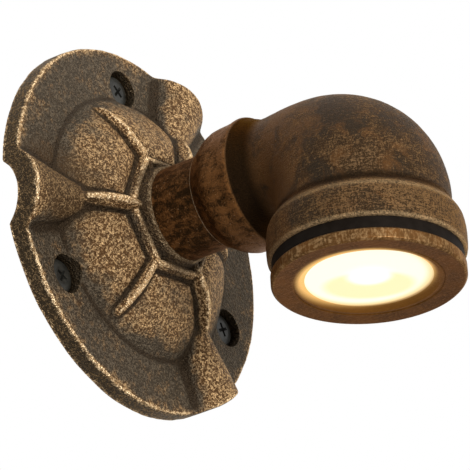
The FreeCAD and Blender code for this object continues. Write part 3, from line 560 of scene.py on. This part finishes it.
# the near-black colours and the neck and crease ranges are painted shade; the front range is partly painted
# light
elbowLook = {
    "bumpDepth": 0.5, "tint": (1.0, 0.619, 0.286),
    "bandRange": (21.0, 22.6), "frontWearAndPaintedLightRange": (62.0, 84.0), "paintedNeckShadeFades": (60.0, 53.0),
    "upperLipStarts": (22.9, 23.9), "upperLipFades": (25.4, 24.3), "lowerLipStarts": (32.9, 33.9),
    "paintedFootShadeStarts": (18.6, 20.8), "paintedFootShadeFades": (23.4, 21.8), "paintedFootShadeOut": (52.0, 56.0),
    "dark": (0.017, 0.008, 0.003), "slate": (0.013, 0.009, 0.006), "copper": (0.108, 0.045, 0.013),
    "paintedShade": (0.005, 0.004, 0.003), "gold": (0.52, 0.35, 0.18), "tan": (0.140, 0.067, 0.023),
    "pale": (0.196, 0.121, 0.061), "bandPale": (0.183, 0.103, 0.045), "paintedNeckShade": (0.004, 0.003, 0.002),
}


def brushedBronze(name, look):
    material, maker, place = startMaterial(name)
    edge = maker.mark("edge")
    centred = maker.stretched(place, (1, 1, 1), move=(0, -lampAxis, 0))
    radius = maker.fromAxis(centred)
    diagonal = maker.noise(maker.stretched(centred, (0.9, 0.9, 0.25), turn=(0.9, 0.5, 0.2)), 1.6, 4.0, 0.6)
    scratch = maker.noise(maker.stretched(centred, (3.2, 0.22, 1.4), turn=(0, 0, 0.6)), 1.0, 4.0, 0.65)
    cloud = maker.noise(centred, 0.16, 3.0, 0.55)
    grain = maker.noise(centred, 2.6, 3.0, 0.6)
    # painted light: a warmer tint near the lens, as if lit by it
    paintedLensWarmthMask = radius.steps(*look["paintedLensWarmthRange"])
    # painted light: the lens's glow on the inner bevel, given as emission
    paintedGlowDistance = maker.fromAxis(maker.stretched(centred, (1, 1, 1), move=look["paintedGlowShift"]))
    depth = -maker.parts(place, "Z")[0]
    paintedLensGlow = paintedGlowDistance.steps(*look["paintedGlowRange"]) * depth.steps(*look["paintedGlowDepth"])
    worn = (edge * 1.2 + grain * 0.7 - 0.6).steps(0.15, 0.8)
    marks = (diagonal * 0.5 + scratch * 0.5).steps(0.46, 0.62)
    side = radius.steps(*look["sideRange"])
    colour = maker.blend(cloud.steps(0.3, 0.7), look["dark"], look["brown"])
    colour = maker.blend(marks * 0.55, colour, look["bronze"])
    colour = maker.blend(side * (marks * 0.75 + 0.1), colour, look["side"])
    colour = maker.blend(paintedLensWarmthMask * 0.6, colour, look["paintedLensWarmth"])
    colour = maker.blend(worn * 0.8, colour, look["gold"])
    endMaterial(maker, {
        "Base Color": colour,
        "Metallic": 0.55 + worn * 0.3,
        "Roughness": 0.42 - marks * 0.12,
        "Specular IOR Level": 0.16,
        "Specular Tint": look["tint"],
        "Emission Color": maker.blend(paintedLensGlow * paintedLensGlow, (0.0, 0.0, 0.0), look["paintedLensGlow"]),
        "Emission Strength": 1.0,
    }, bump=scratch * 0.5 + grain * 0.4, bumpDepth=look["bumpDepth"])
    return material


# the glow and the warm inner tint are painted lens light
bezelLook = {
    "bumpDepth": 0.14, "tint": (1.0, 0.595, 0.247), "dark": (0.048, 0.019, 0.004),
    "brown": (0.105, 0.039, 0.008), "bronze": (0.166, 0.071, 0.017), "paintedLensWarmth": (0.220, 0.089, 0.015),
    "gold": (0.578, 0.384, 0.195), "side": (0.290, 0.176, 0.080), "paintedLensGlow": (0.90, 0.54, 0.18),
    "paintedGlowShift": (1.9, 0.1, 0), "paintedGlowRange": (20.4, 17.2), "paintedGlowDepth": (39.4, 39.9),
    "paintedLensWarmthRange": (21.5, 18.2), "sideRange": (25.2, 26.0),
}


def litLens(name, look):
    material, maker, place = startMaterial(name)
    centred = maker.stretched(place, (1, 1, 1), move=(0, -lampAxis, 0))
    x, y = maker.parts(centred, "XY")
    radius = span(x + look["shiftX"], y + look["shiftY"])
    away = x * look["awayX"] + y * look["awayY"]
    across = x * look["awayY"] - y * look["awayX"]
    shifted = span(across * look["moonWidth"], away - look["moonShift"])
    moon = shifted.steps(look["moonOuter"], look["moonOuter"] - 2.5)
    spot = span(across * look["spotWidth"], away + look["spotShift"])
    moon = moon * spot.steps(look["spotRadius"] - 1.0, look["spotRadius"] + 1.8)
    hot = spot.steps(look["spotRadius"] + 3.0, 0.0)
    colour = maker.blend(hot, look["soft"], look["white"])
    colour = maker.blend(moon, colour, look["cream"])
    colour = maker.blend(radius.steps(look["rimStart"], look["rimEnd"]), colour, look["amber"])
    colour = maker.blend(radius.steps(look["rimEnd"] - 0.6, look["rimEnd"] + 0.8), colour, look["brown"])
    endMaterial(maker, {
        "Base Color": look["glass"],
        "Roughness": 0.35,
        "Emission Color": colour,
        "Emission Strength": look["strength"],
    })
    return material


lensLook = {
    "awayX": 0.8155, "awayY": 0.5787, "moonShift": 4.0, "moonOuter": 9.5, "spotShift": 1.8,
    "spotRadius": 5.0, "rimStart": 15.4, "rimEnd": 18.6, "strength": 1.0, "shiftX": 2.1, "shiftY": -0.1,
    "moonWidth": 0.45 ** 0.5, "spotWidth": 0.8 ** 0.5, "glass": (0.25, 0.22, 0.16),
    "white": (1.2, 1.18, 1.12), "soft": (0.97, 0.95, 0.76), "cream": (0.93, 0.80, 0.42),
    "amber": (0.93, 0.68, 0.29), "brown": (0.34, 0.18, 0.05),
}


plainLook = {
    "cloud": 0.35, "grain": 3.0, "stretch": (1, 1, 1), "shade": 0.72, "light": 1.15,
    "metal": 0.0, "rough": 0.45, "shine": 0.5, "bumpDepth": 0.02,
}


def plainFinish(name, changes):
    # moulded, turned or plated small parts: a body colour with mottling, dust and fine grain
    look = {**plainLook, **changes}
    material, maker, place = startMaterial(name)
    cloud = maker.noise(place, look["cloud"], 3.0, 0.6)
    grain = maker.noise(maker.stretched(place, look["stretch"]), look["grain"], 3.0, 0.6)
    shade = tuple(channel * look["shade"] for channel in look["colour"])
    light = tuple(min(1.0, channel * look["light"] + 0.002) for channel in look["colour"])
    colour = maker.blend(cloud.steps(0.3, 0.7), shade, light)
    colour = maker.blend(grain.steps(0.62, 0.8) * 0.5, colour, look.get("fleck", light))
    endMaterial(maker, {
        "Base Color": colour,
        "Metallic": look["metal"],
        "Roughness": look["rough"] + (grain - 0.5) * 0.15,
        "Specular IOR Level": look["shine"],
    }, bump=grain, bumpDepth=look["bumpDepth"])
    return material


# The cast flange: one sheet of points whose heights follow the casting's forms
flangeShape = {
    "Outer Radius": 53.7, "Bore Radius": 13.5, "Plate": 4.7, "Rim Rounding": 0.9, "Unevenness": 0.5,
    "Collar Height": 20.0, "Collar Slope": 3.6,
    "Arch Angle": 66.5, "Arch Start": 21.5, "Arch Crown": 11.6, "Tunnel Start": 27.3, "Tunnel Crown": 4.7,
    "Cone Height": 0.511, "Cone Width": 0.4633,
    "Panel Start": 15.0, "Panel Reach": 23.4, "Panel Rise": 11.6, "Panel Curve": 0.85,
    "Crease": 2.5, "Crease Sharpness": 0.31,
    "Seam Angle": 124.0, "Seam Cord": 1.15, "Seam Foot": 1.45, "Seam Rise": 11.1, "Seam Reach": 21.6,
    "Seam Curve": 0.6, "Seam End": 35.6,
    "Spine Cord": 1.3, "Spine Top": 18.3, "Spine Start": 20.0, "Spine Fall": 0.0325, "Spine End": 32.8,
    "Hub Cord": 1.1, "Hub Flat": 15.3, "Hub Height": 17.5, "Hub End": 30.0,
    "Hollow Edge": 32.6, "Hollow Start": 4.4, "Hollow Slope": 0.576, "Hollow Depth": 8.2,
    "Screw Circle": 42.6, "Screw Turn": 30.5, "Seat Radius": 5.6, "Hole Radius": 2.3,
}
flangeGrid = {"around": 480, "walk": {"front": 130, "side": 5, "back": 30, "bore": 3}}  # faces along each


def flangeWalk(maker, stretches):
    # u goes round; the walk goes out over the front, down the side, in over the back and up the bore
    u, v = (part + 0.5 for part in maker.parts(maker.node("GeometryNodeInputPosition"), "XY"))
    walk = v * sum(stretches.values())
    shares = []
    done = 0
    for faces in stretches.values():
        shares.append(((walk - done) / faces).high(0.0).low(1.0))
        done += faces
    return u, shares


def lyingCone(given, along, across, start, crown):
    # the upper half of a cone lying on the wall, and how far inside its width each point is
    reach = (along - given[start]).high(0.05)
    half = reach * given["Cone Height"]
    beside = across / (reach * given["Cone Width"])
    inside = 1.0 - beside * beside
    return given[crown] - half + half * inside.root(), inside


def flangeFront(given, radius, fold, along, across, besideSeam):
    # panels that fall away from the hub to the plate, creased where they meet
    share = ((radius - given["Panel Start"]).high(0.0) / given["Panel Reach"]).low(1.0)
    panel = (1.0 - share * share) ** given["Panel Curve"]
    hexagon = radius * (fold - math.pi / 6).cosine() - given["Hub Flat"]
    crease = besideSeam.low(across).low(hexagon.size()) * given["Crease Sharpness"]
    dent = given["Crease"] * (-(crease * crease)).exponential()
    height = given["Plate"] + given["Panel Rise"] * panel - dent * panel
    height = height.high(given["Plate"], 4.5)
    arch, inside = lyingCone(given, along, across, "Arch Start", "Arch Crown")
    height = height.high(arch + inside.low(0.0).high(-1.0) * 12.0, 2.4)

    # cords that stand on those forms: three down the seams, three down the arches, one round the hub
    def cord(kind, beside, top, flank):
        thick = given[kind + " Cord"]
        past = (radius - given[kind + " End"]).high(0.0) * 0.7
        room = thick * thick - beside * beside - past * past
        return top - thick + room.root() + room.low(0.0) * flank

    fall = ((radius - given["Panel Start"]).high(0.0) / given["Seam Reach"]).low(1.0)
    seamTop = (given["Plate"] + given["Seam Foot"]
               + given["Seam Rise"] * (1.0 - fall * fall) ** given["Seam Curve"])
    fall = (radius - given["Spine Start"]).high(0.0)
    spineTop = given["Spine Top"] - fall * fall * given["Spine Fall"]
    height = height.high(cord("Seam", besideSeam, seamTop, 0.6), 0.7)
    height = height.high(cord("Spine", across, spineTop, 0.5), 0.7)
    height = height.high(cord("Hub", hexagon, given["Hub Height"], 0.7), 0.7)
    collar = (radius - given["Bore Radius"] - 0.45).high(0.0) * given["Collar Slope"]
    height = height.high(given["Collar Height"] - collar, 0.3)
    # worn rim
    rounding = given["Rim Rounding"]
    inset = (radius - given["Outer Radius"] + rounding).high(0.0)
    return height - rounding + (rounding * rounding - inset * inset).root()


def flangeBack(given, radius, along, across):
    # the hollow back, and a tunnel under each arch
    hollow = given["Hollow Start"] + (given["Hollow Edge"] - radius) * given["Hollow Slope"]
    hollow = hollow.low(given["Hollow Depth"]) * radius.steps(33.0, 32.2)
    tunnel, inside = lyingCone(given, along, across, "Tunnel Start", "Tunnel Crown")
    return hollow.high((tunnel + inside.low(0.0) * 20.0).high(0.0))


def screwCutters(maker, given, radius, low, high):
    # three drills on the screws' circle, from one height above the wall to another
    drill = maker.node("GeometryNodeMeshCylinder", {"fill_type": "NGON"}, {
        "Vertices": 64, "Radius": given[radius] * mm, "Depth": (high - low) * mm}, out="Mesh")
    middle = maker.joined(given["Screw Circle"] * mm, -(low + high) / 2 * mm)
    drill = maker.node("GeometryNodeTransform", None, {
        "Geometry": drill, "Translation": middle, "Rotation": (math.pi / 2, 0, 0)})
    join = maker.tree.nodes.new("GeometryNodeJoinGeometry")
    for index in range(3):
        angle = (given["Arch Angle"] + given["Screw Turn"] + 120.0 * index) * (-math.pi / 180)
        cutter = maker.node("GeometryNodeTransform", None, {
            "Geometry": drill, "Rotation": maker.joined(y=angle)})
        maker.tree.links.new(cutter.socket, join.inputs[0])
    return Wire(maker, join.outputs[0])


def startTree(name, inputs):
    tree = bpy.data.node_groups.new(name, "GeometryNodeTree")
    tree.interface.new_socket(name="Geometry", in_out="INPUT", socket_type="NodeSocketGeometry")
    for label, value in inputs.items():
        kind = "NodeSocketInt" if isinstance(value, int) else "NodeSocketFloat"
        tree.interface.new_socket(name=label, in_out="INPUT", socket_type=kind).default_value = value
    tree.interface.new_socket(name="Geometry", in_out="OUTPUT", socket_type="NodeSocketGeometry")
    maker = Maker(tree)
    entry = tree.nodes.new("NodeGroupInput")
    return tree, maker, {label: Wire(maker, entry.outputs[label]) for label in ("Geometry", *inputs)}


def endTree(maker, shape, material):
    shape = maker.node("GeometryNodeRealizeInstances", None, {"Geometry": shape})
    shape = maker.node("GeometryNodeSetMaterial", None, {"Geometry": shape, "Material": material})
    maker.node("NodeGroupOutput", None, {"Geometry": shape})


def flangeTree(shape, grid, material):
    tree, maker, given = startTree("castFlangeShape", shape)
    rows = sum(grid["walk"].values())
    sheet = maker.node("GeometryNodeMeshGrid", None, {
        "Size X": 1.0, "Size Y": 1.0, "Vertices X": grid["around"] + 1, "Vertices Y": rows + 1}, out="Mesh")
    u, (front, side, back, bore) = flangeWalk(maker, grid["walk"])
    radius = given["Bore Radius"] + (given["Outer Radius"] - given["Bore Radius"]) * (front - back)
    turn = u * (2 * math.pi)
    # the forms repeat every 120 degrees, from each arch and from each seam
    fold = ((u * 360.0 - given["Arch Angle"] + 60.0).wrapped(120.0) - 60.0).size() * (math.pi / 180)
    seamFold = ((u * 360.0 - given["Seam Angle"] + 60.0).wrapped(120.0) - 60.0) * (math.pi / 180)
    besideSeam = (radius * seamFold.sine()).size() + (seamFold.size() - 1.0).high(0.0) * 60.0
    along = radius * fold.cosine()
    across = radius * fold.sine()
    height = flangeFront(given, radius, fold, along, across, besideSeam)
    under = flangeBack(given, radius, along, across)
    level = height + (under - height) * (side - bore)

    # a casting's slight unevenness, over the front and round the rim
    spot = maker.joined(radius * turn.cosine(), level, radius * turn.sine())
    swell = (maker.noise(spot, 0.13, 4.0, 0.6) - 0.5) * given["Unevenness"] * (1.0 - side)
    spot = maker.joined(turn.cosine() * 6.0, 3.0, turn.sine() * 6.0)
    wobble = (maker.noise(spot, 0.9, 3.0, 0.6) - 0.5) * 0.9
    wide = radius + wobble * (radius / given["Outer Radius"]) ** 6.0
    place = maker.joined(wide * turn.cosine() * mm, -(level + swell) * mm, wide * turn.sine() * mm)
    cast = maker.node("GeometryNodeSetPosition", None, {"Geometry": sheet, "Position": place})
    cast = maker.node("GeometryNodeFlipFaces", None, {"Mesh": cast})
    cast = maker.node("GeometryNodeMergeByDistance", None, {"Geometry": cast, "Distance": 0.00003})
    for radiusName, low, high in (("Seat Radius", 1.6, 20.0), ("Hole Radius", -2.0, 8.0)):
        cast = maker.node("GeometryNodeMeshBoolean", {"operation": "DIFFERENCE", "solver": "EXACT"}, {
            "Mesh 1": cast, "Mesh 2": screwCutters(maker, given, radiusName, low, high)}, out="Mesh")
    endTree(maker, cast, material)
    return tree


def runTree(name, tree, inputs, start=None):
    mesh = start or bpy.data.meshes.new(name)
    piece = bpy.data.objects.new(name, mesh)
    bpy.context.collection.objects.link(piece)
    modifier = piece.modifiers.new("shape", "NODES")
    modifier.node_group = tree
    for socket in tree.interface.items_tree:
        if socket.in_out == "INPUT" and socket.name in inputs:
            modifier[socket.identifier] = inputs[socket.name]
    bpy.context.view_layer.update()
    return flatten(piece)


castMaterial = castBronze("castBronze", flangeLook)
flangeMesh = runTree("castFlange", flangeTree(flangeShape, flangeGrid, castMaterial), flangeShape)
castFlange = finishMesh("castFlange", flangeMesh, 40)
markEdges(castFlange, 1.0, 2, 110, 1.3)
# where painted shade goes on the rim's side and in the screw seats
markPaintedRimShade(castFlange, 50.0, flangeShape)
addPiece(castFlange, "wall_base", None, ["wall_flange"])
print("flange made:", len(flangeMesh.polygons), "faces")

# Corners are radius, distance along the axis and rounding; that distance runs out from the wall for
# pieces turned about the pipe, and down from the pipe's axis for pieces turned about the lamp

# Earth boss in the hollow back
bossShape = {
    "corners": [(2.05, 5.0, 0), (4.6, 5.0, 0.4), (4.6, 9.2, 0), (2.05, 9.2, 0)],
    "below": 22.6, "segments": 64, "longest": 0.8,
}
earthBoss = lathe("earthBoss", bossShape, "pipe")
earthBoss.data.transform(Matrix.Translation((0, 0, -bossShape["below"] * mm)))
markEdges(earthBoss, 0.8, 1)
addPiece(earthBoss, "wall_base", castMaterial)

# Pipe nipple
nippleShape = {
    "corners": [(10.8, 8.2, 0.2), (13.0, 8.2, 0.3), (13.45, 8.9, 0.3), (13.45, 59.3, 0.3), (12.9, 60.0, 0.3),
                (10.8, 60.0, 0.2)],
    "segments": 144, "longest": 0.9,
}
pipeMaterial = mottledBronze("pipeBronze", pipeLook)
nipple = lathe("pipeNipple", nippleShape, "pipe")
markEdges(nipple, 0.8, 2)
addPiece(nipple, "wall_base", pipeMaterial, ["pipe_nipple"])

# Reducing elbow: rings along the pipe, round the bend about its inner corner, then down to the band
elbowShape = {
    "crotchOut": 56.3, "crotchDown": 17.2, "room": 0.9, "wall": 2.8,
    "bend": [(0, 16.3), (22.5, 17.8), (45, 20.35), (67.5, 22.65), (90, 23.75)],
    "bead": [(33.6, 13.56), (33.6, 14.1), (34.2, 14.5), (36.0, 15.6), (37.8, 16.8), (39.2, 17.5),
             (40.6, 17.95), (42.6, 18.1), (44.6, 18.2), (46.6, 18.4), (47.8, 18.65), (48.5, 18.75),
             (48.9, 18.6), (49.3, 18.35), (49.9, 17.95), (50.8, 17.55), (51.8, 17.15), (52.7, 16.7),
             (53.6, 16.4), (54.6, 16.3), (55.5, 16.3)],
    "skirt": [(18.2, 23.75), (19.4, 23.82), (20.5, 23.95), (21.3, 24.2), (22.0, 24.7), (22.9, 25.4),
              (23.9, 26.05), (24.9, 26.5), (26.0, 26.75), (27.4, 26.95), (29.2, 27.05), (31.2, 27.05),
              (32.8, 26.98), (33.6, 26.85), (34.05, 26.6), (34.3, 26.2), (34.3, 24.0), (34.3, 21.4),
              (33.9, 21.3), (27.0, 21.3), (20.7, 21.3)],
    "socket": 13.56, "socketStops": (56.6, 50, 44, 39, 36), "boreEnd": 16,
    "segments": 176, "bendRings": 61, "boreRings": 28,
}


def elbowRings(shape):
    steps = shape["segments"]
    turns = [2 * math.pi * step / steps for step in range(steps)]
    sizes = np.polyfit(*zip(*shape["bend"]), 4)  # body radius at each angle round the bend

    def ring(out, down, radius, swing):
        toward = Vector((0, -math.sin(swing), math.cos(swing)))
        middle = Vector((0, -out, -down))
        return [(middle + Vector((radius * math.cos(turn), 0, 0)) + toward * radius * math.sin(turn)) * mm
                for turn in turns]

    def bendRing(degrees, wall):
        radius = float(np.polyval(sizes, degrees))
        swing = math.radians(degrees)
        arm = radius + shape["room"]
        return ring(shape["crotchOut"] + arm * math.sin(swing), shape["crotchDown"] - arm * math.cos(swing),
                    radius - wall, swing)

    rings = [ring(out, 0, radius, 0) for out, radius in shape["bead"]]
    rings += [bendRing(degrees, 0) for degrees in np.linspace(0, 90, shape["bendRings"])]
    rings += [ring(-lampAxis, down, radius, math.pi / 2) for down, radius in shape["skirt"]]
    inward = np.linspace(90, shape["boreEnd"], shape["boreRings"])
    rings += [bendRing(degrees, shape["wall"]) for degrees in inward]
    rings += [ring(out, 0, shape["socket"], 0) for out in shape["socketStops"]]
    return rings


elbowMaterial = elbowBronze("elbowBronze", elbowLook)
elbow = ringMesh("castElbow", elbowRings(elbowShape), True, 38)
roughen(elbow, 0.07, 5.0, 3.0)
markEdges(elbow, 1.4, 2)
addPiece(elbow, "elbow_arm", elbowMaterial, ["reducing_elbow"])
elbow.data.materials.append(pipeMaterial)
for face in elbow.data.polygons:
    if face.center.y > -beadEnd * mm:
        face.material_index = 1
print("elbow made:", len(elbow.data.polygons), "faces")

# Bezel ring and lens
bezelShape = {
    "corners": [(22.8, 37.72, 0.1), (26.0, 37.72, 0.35), (26.4, 38.2, 0.3), (26.4, 40.8, 0.4),
                (25.8, 41.4, 0.35), (20.6, 41.2, 0.1), (20.3, 40.9, 0.1), (20.0, 41.1, 0.15),
                (19.2, 41.1, 0.3), (17.5, 40.05, 0.2), (17.3, 39.95, 0.05), (22.8, 39.95, 0.1)],
    "segments": 192, "longest": 0.45,
}
bezel = lathe("bezelRing", bezelShape, "lamp")
markEdges(bezel, 0.9, 2)
addPiece(bezel, "bezel", brushedBronze("bezelBronze", bezelLook), ["bezel_ring"])

lensShape = {
    "corners": [(0, 37.75, 0), (18.6, 37.75, 0.2), (18.8, 38.2, 0.2), (18.8, 39.85, 0.1),
                (17.2, 39.85, 0.1), (14.0, 40.05, 2), (9.0, 40.2, 2), (0, 40.28, 0)],
    "segments": 144, "longest": 0.8,
}
lens = lathe("frostedLens", lensShape, "lamp")
addPiece(lens, "lens_unit", litLens("litLens", lensLook), ["lens"])
print("bezel and lens made")

# Wall screws: one turned screw with a cross recess, set round by a tree
screwRing = {"Circle": flangeShape["Screw Circle"], "First": 97.0, "Seed": 4}
screwShape = {
    "head": [(0, 3.9, 0), (2.6, 3.85, 0.8), (4.4, 3.4, 1.0), (5.1, 2.5, 0.5), (5.15, 1.6, 0.1),
             (2.0, 1.6, 0.1)],
    "thread": {"radius": 2.0, "root": 1.68, "start": 1.2, "pitch": 0.7, "turns": 7},
    "tip": [(1.5, -4.4, 0.1), (0, -4.4, 0)],
    "recess": {"width": 1.15, "length": 5.4, "top": 3.9, "depth": 1.4},
    "segments": 48, "longest": 5.0,
}


def screwCorners(shape):
    thread = shape["thread"]
    corners = list(shape["head"])
    for step in range(thread["turns"]):
        crest = thread["start"] - step * thread["pitch"]
        corners += [(thread["radius"], crest, 0), (thread["root"], crest - thread["pitch"] / 2, 0)]
    return corners + shape["tip"]


def crossRecess(piece, width, length, top, depth):
    for across, along in ((width, length), (length, width)):
        tool = bpy.data.meshes.new("recess")
        work = bmesh.new()
        bmesh.ops.create_cube(work, size=1.0)
        for vertex in work.verts:
            taper = 1.0 if vertex.co.y < 0 else 0.55
            vertex.co = Vector((vertex.co.x * across * taper, vertex.co.y * depth * 2 - top,
                                vertex.co.z * along * taper)) * mm
        work.to_mesh(tool)
        work.free()
        cutter = bpy.data.objects.new("recess", tool)
        bpy.context.collection.objects.link(cutter)
        modifier = piece.modifiers.new("recess", "BOOLEAN")
        modifier.object = cutter
        modifier.solver = "EXACT"
        mesh = flatten(piece)
        bpy.data.objects.remove(cutter)
        piece = finishMesh("oneScrew", mesh, 30)
    return piece


def screwTree(inputs, material):
    tree, maker, given = startTree("screwsRound", inputs)
    index = maker.node("GeometryNodeInputIndex")
    angle = (given["First"] + index * 120.0) * (math.pi / 180)
    place = maker.joined(angle.cosine() * given["Circle"] * mm, 0.0, angle.sine() * given["Circle"] * mm)
    points = maker.node("GeometryNodePoints", None, {"Count": 3, "Position": place})
    spin = maker.node("FunctionNodeRandomValue", {"data_type": "FLOAT"}, {
        "Min": 0.0, "Max": math.pi, "ID": index, "Seed": given["Seed"]}, out="Value")
    placed = maker.node("GeometryNodeInstanceOnPoints", None, {
        "Points": points, "Instance": given["Geometry"], "Rotation": maker.joined(y=spin)})
    endTree(maker, placed, material)
    return tree


screwMaterial = plainFinish("blackScrew", {
    "colour": (0.020, 0.019, 0.015), "metal": 0.4, "rough": 0.45, "fleck": (0.12, 0.09, 0.06), "light": 1.6})
screwShape["corners"] = screwCorners(screwShape)
oneScrew = crossRecess(lathe("oneScrew", screwShape, "pipe", 30), **screwShape["recess"])
screwMesh = oneScrew.data
bpy.data.objects.remove(oneScrew)
screwMesh = runTree("wallScrews", screwTree(screwRing, screwMaterial), screwRing, screwMesh)
wallScrews = finishMesh("wallScrews", screwMesh, 30)
addPiece(wallScrews, "wall_base", None, ["wall_screws"])
print("screws made")

# Finishes of the pieces that keep their CAD shape
smallFinishes = {
    "lamp_housing": {"colour": (0.007, 0.004, 0.002), "rough": 0.65, "shine": 0.06, "light": 1.0,
                     "fleck": (0.03, 0.018, 0.008)},
    "wire_bush": {"colour": (0.03, 0.03, 0.03), "rough": 0.5},
    "push_in_connectors": {"colour": (0.55, 0.57, 0.6), "rough": 0.25},
    "earth_screw": {"colour": (0.55, 0.55, 0.52), "metal": 0.9, "rough": 0.35},
    "earth_lug": {"colour": (0.62, 0.58, 0.5), "metal": 0.9, "rough": 0.35},
    "live_lead": {"colour": (0.16, 0.07, 0.03), "rough": 0.4},
    "neutral_lead": {"colour": (0.04, 0.14, 0.42), "rough": 0.4},
    "earth_lead": {"colour": (0.16, 0.36, 0.05), "rough": 0.4, "fleck": (0.6, 0.5, 0.05), "grain": 0.6},
    "lamp_leads": {"colour": (0.45, 0.04, 0.03), "rough": 0.4},
    "thermal_pad": {"colour": (0.4, 0.41, 0.43), "rough": 0.8},
    "led_board": {"colour": (0.8, 0.81, 0.8), "rough": 0.4},
    "led_chip": {"colour": (0.85, 0.66, 0.15), "rough": 0.3},
    "board_screws": {"colour": (0.55, 0.55, 0.52), "metal": 0.9, "rough": 0.35},
    "reflector": {"colour": (0.85, 0.85, 0.83), "rough": 0.3},
    "lens_gasket": {"colour": (0.25, 0.25, 0.25), "rough": 0.8},
    "driver_case": {"colour": (0.7, 0.7, 0.68), "rough": 0.5},
    "driver_lid": {"colour": (0.7, 0.7, 0.68), "rough": 0.5},
    "driver_board": {"colour": (0.03, 0.16, 0.07), "rough": 0.35},
    "driver_transformer": {"colour": (0.6, 0.45, 0.06), "rough": 0.5, "stretch": (0.2, 2.0, 0.2)},
    "driver_capacitor": {"colour": (0.03, 0.03, 0.04), "rough": 0.3},
}
for node, look in smallFinishes.items():
    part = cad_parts[node]
    finish = plainFinish(node + "Finish", look)
    for index in range(max(1, len(part.data.materials))):
        if index < len(part.material_slots):
            part.material_slots[index].link = "OBJECT"
            part.material_slots[index].material = finish
        else:
            part.data.materials.append(finish)
print("small parts finished")

# Floor, white surroundings and lamps, in metres
stageSettings = {"floorDrop": -1.6, "floorSize": 6.0, "surround": 0.2, "floorGlow": (0.62, 0.62, 0.62)}


def backgroundRays(maker):
    # 1 for the rays that see the pale background itself, straight or in a shiny or clear surface
    rays = [maker.node("ShaderNodeLightPath", out=ray)
            for ray in ("Is Camera Ray", "Is Glossy Ray", "Is Transmission Ray")]
    return rays[0].high(rays[1]).high(rays[2])


def makeStage(settings):
    half = settings["floorSize"]
    corners = [(x * half, y * half, settings["floorDrop"]) for x, y in ((-1, -1), (1, -1), (1, 1), (-1, 1))]
    floor = meshFrom("floor", corners, [(0, 1, 2, 3)])
    material, maker, place = startMaterial("paleFloor")
    soft = maker.noise(place, 0.002, 3.0, 0.5)
    seen = backgroundRays(maker)
    endMaterial(maker, {
        "Base Color": maker.blend(soft, (0.84, 0.84, 0.84), (0.88, 0.88, 0.88)),
        "Roughness": 0.8,
        "Emission Color": maker.blend(seen, (0, 0, 0), settings["floorGlow"]),
        "Emission Strength": 1.0,
    })
    floor.data.materials.append(material)
    world = bpy.data.worlds.new("surroundings")
    bpy.context.scene.world = world
    world.use_nodes = True
    world.node_tree.nodes.clear()
    maker = Maker(world.node_tree)
    seen = backgroundRays(maker)
    light = maker.node("ShaderNodeBackground", None, {"Color": (1, 1, 1), "Strength": settings["surround"]})
    white = maker.node("ShaderNodeBackground", None, {"Color": (1, 1, 1), "Strength": 1.0})
    mixed = maker.node("ShaderNodeMixShader", None, {"Fac": seen, 1: light, 2: white})
    maker.node("ShaderNodeOutputWorld", None, {"Surface": mixed})


# each lamp: right, up and back from the light's middle as the camera sees it, size, watts
lampSettings = {
    "keyLamp": {"right": 0.5, "up": 0.35, "back": 1.0, "size": 0.4, "watts": 14.5},
    "sideLamp": {"right": 1.15, "up": 0.0, "back": 0.3, "size": 0.4, "watts": 3.0},
    "topLamp": {"right": 0.1, "up": 1.15, "back": -0.1, "size": 0.5, "watts": 2.0},
}


def makeLamps(settings):
    middle = Vector((0, -0.04, -0.005))
    for name, lamp in settings.items():
        data = bpy.data.lights.new(name, "AREA")
        data.shape = "DISK"
        data.size = lamp["size"]
        data.energy = lamp["watts"]
        item = bpy.data.objects.new(name, data)
        bpy.context.collection.objects.link(item)
        sideways = cameraRight * lamp["right"] + cameraUp * lamp["up"]
        item.location = middle + sideways + cameraBack * lamp["back"]
        item.rotation_mode = "QUATERNION"
        item.rotation_quaternion = (item.location - middle).to_track_quat("Z", "Y")


makeStage(stageSettings)
makeLamps(lampSettings)
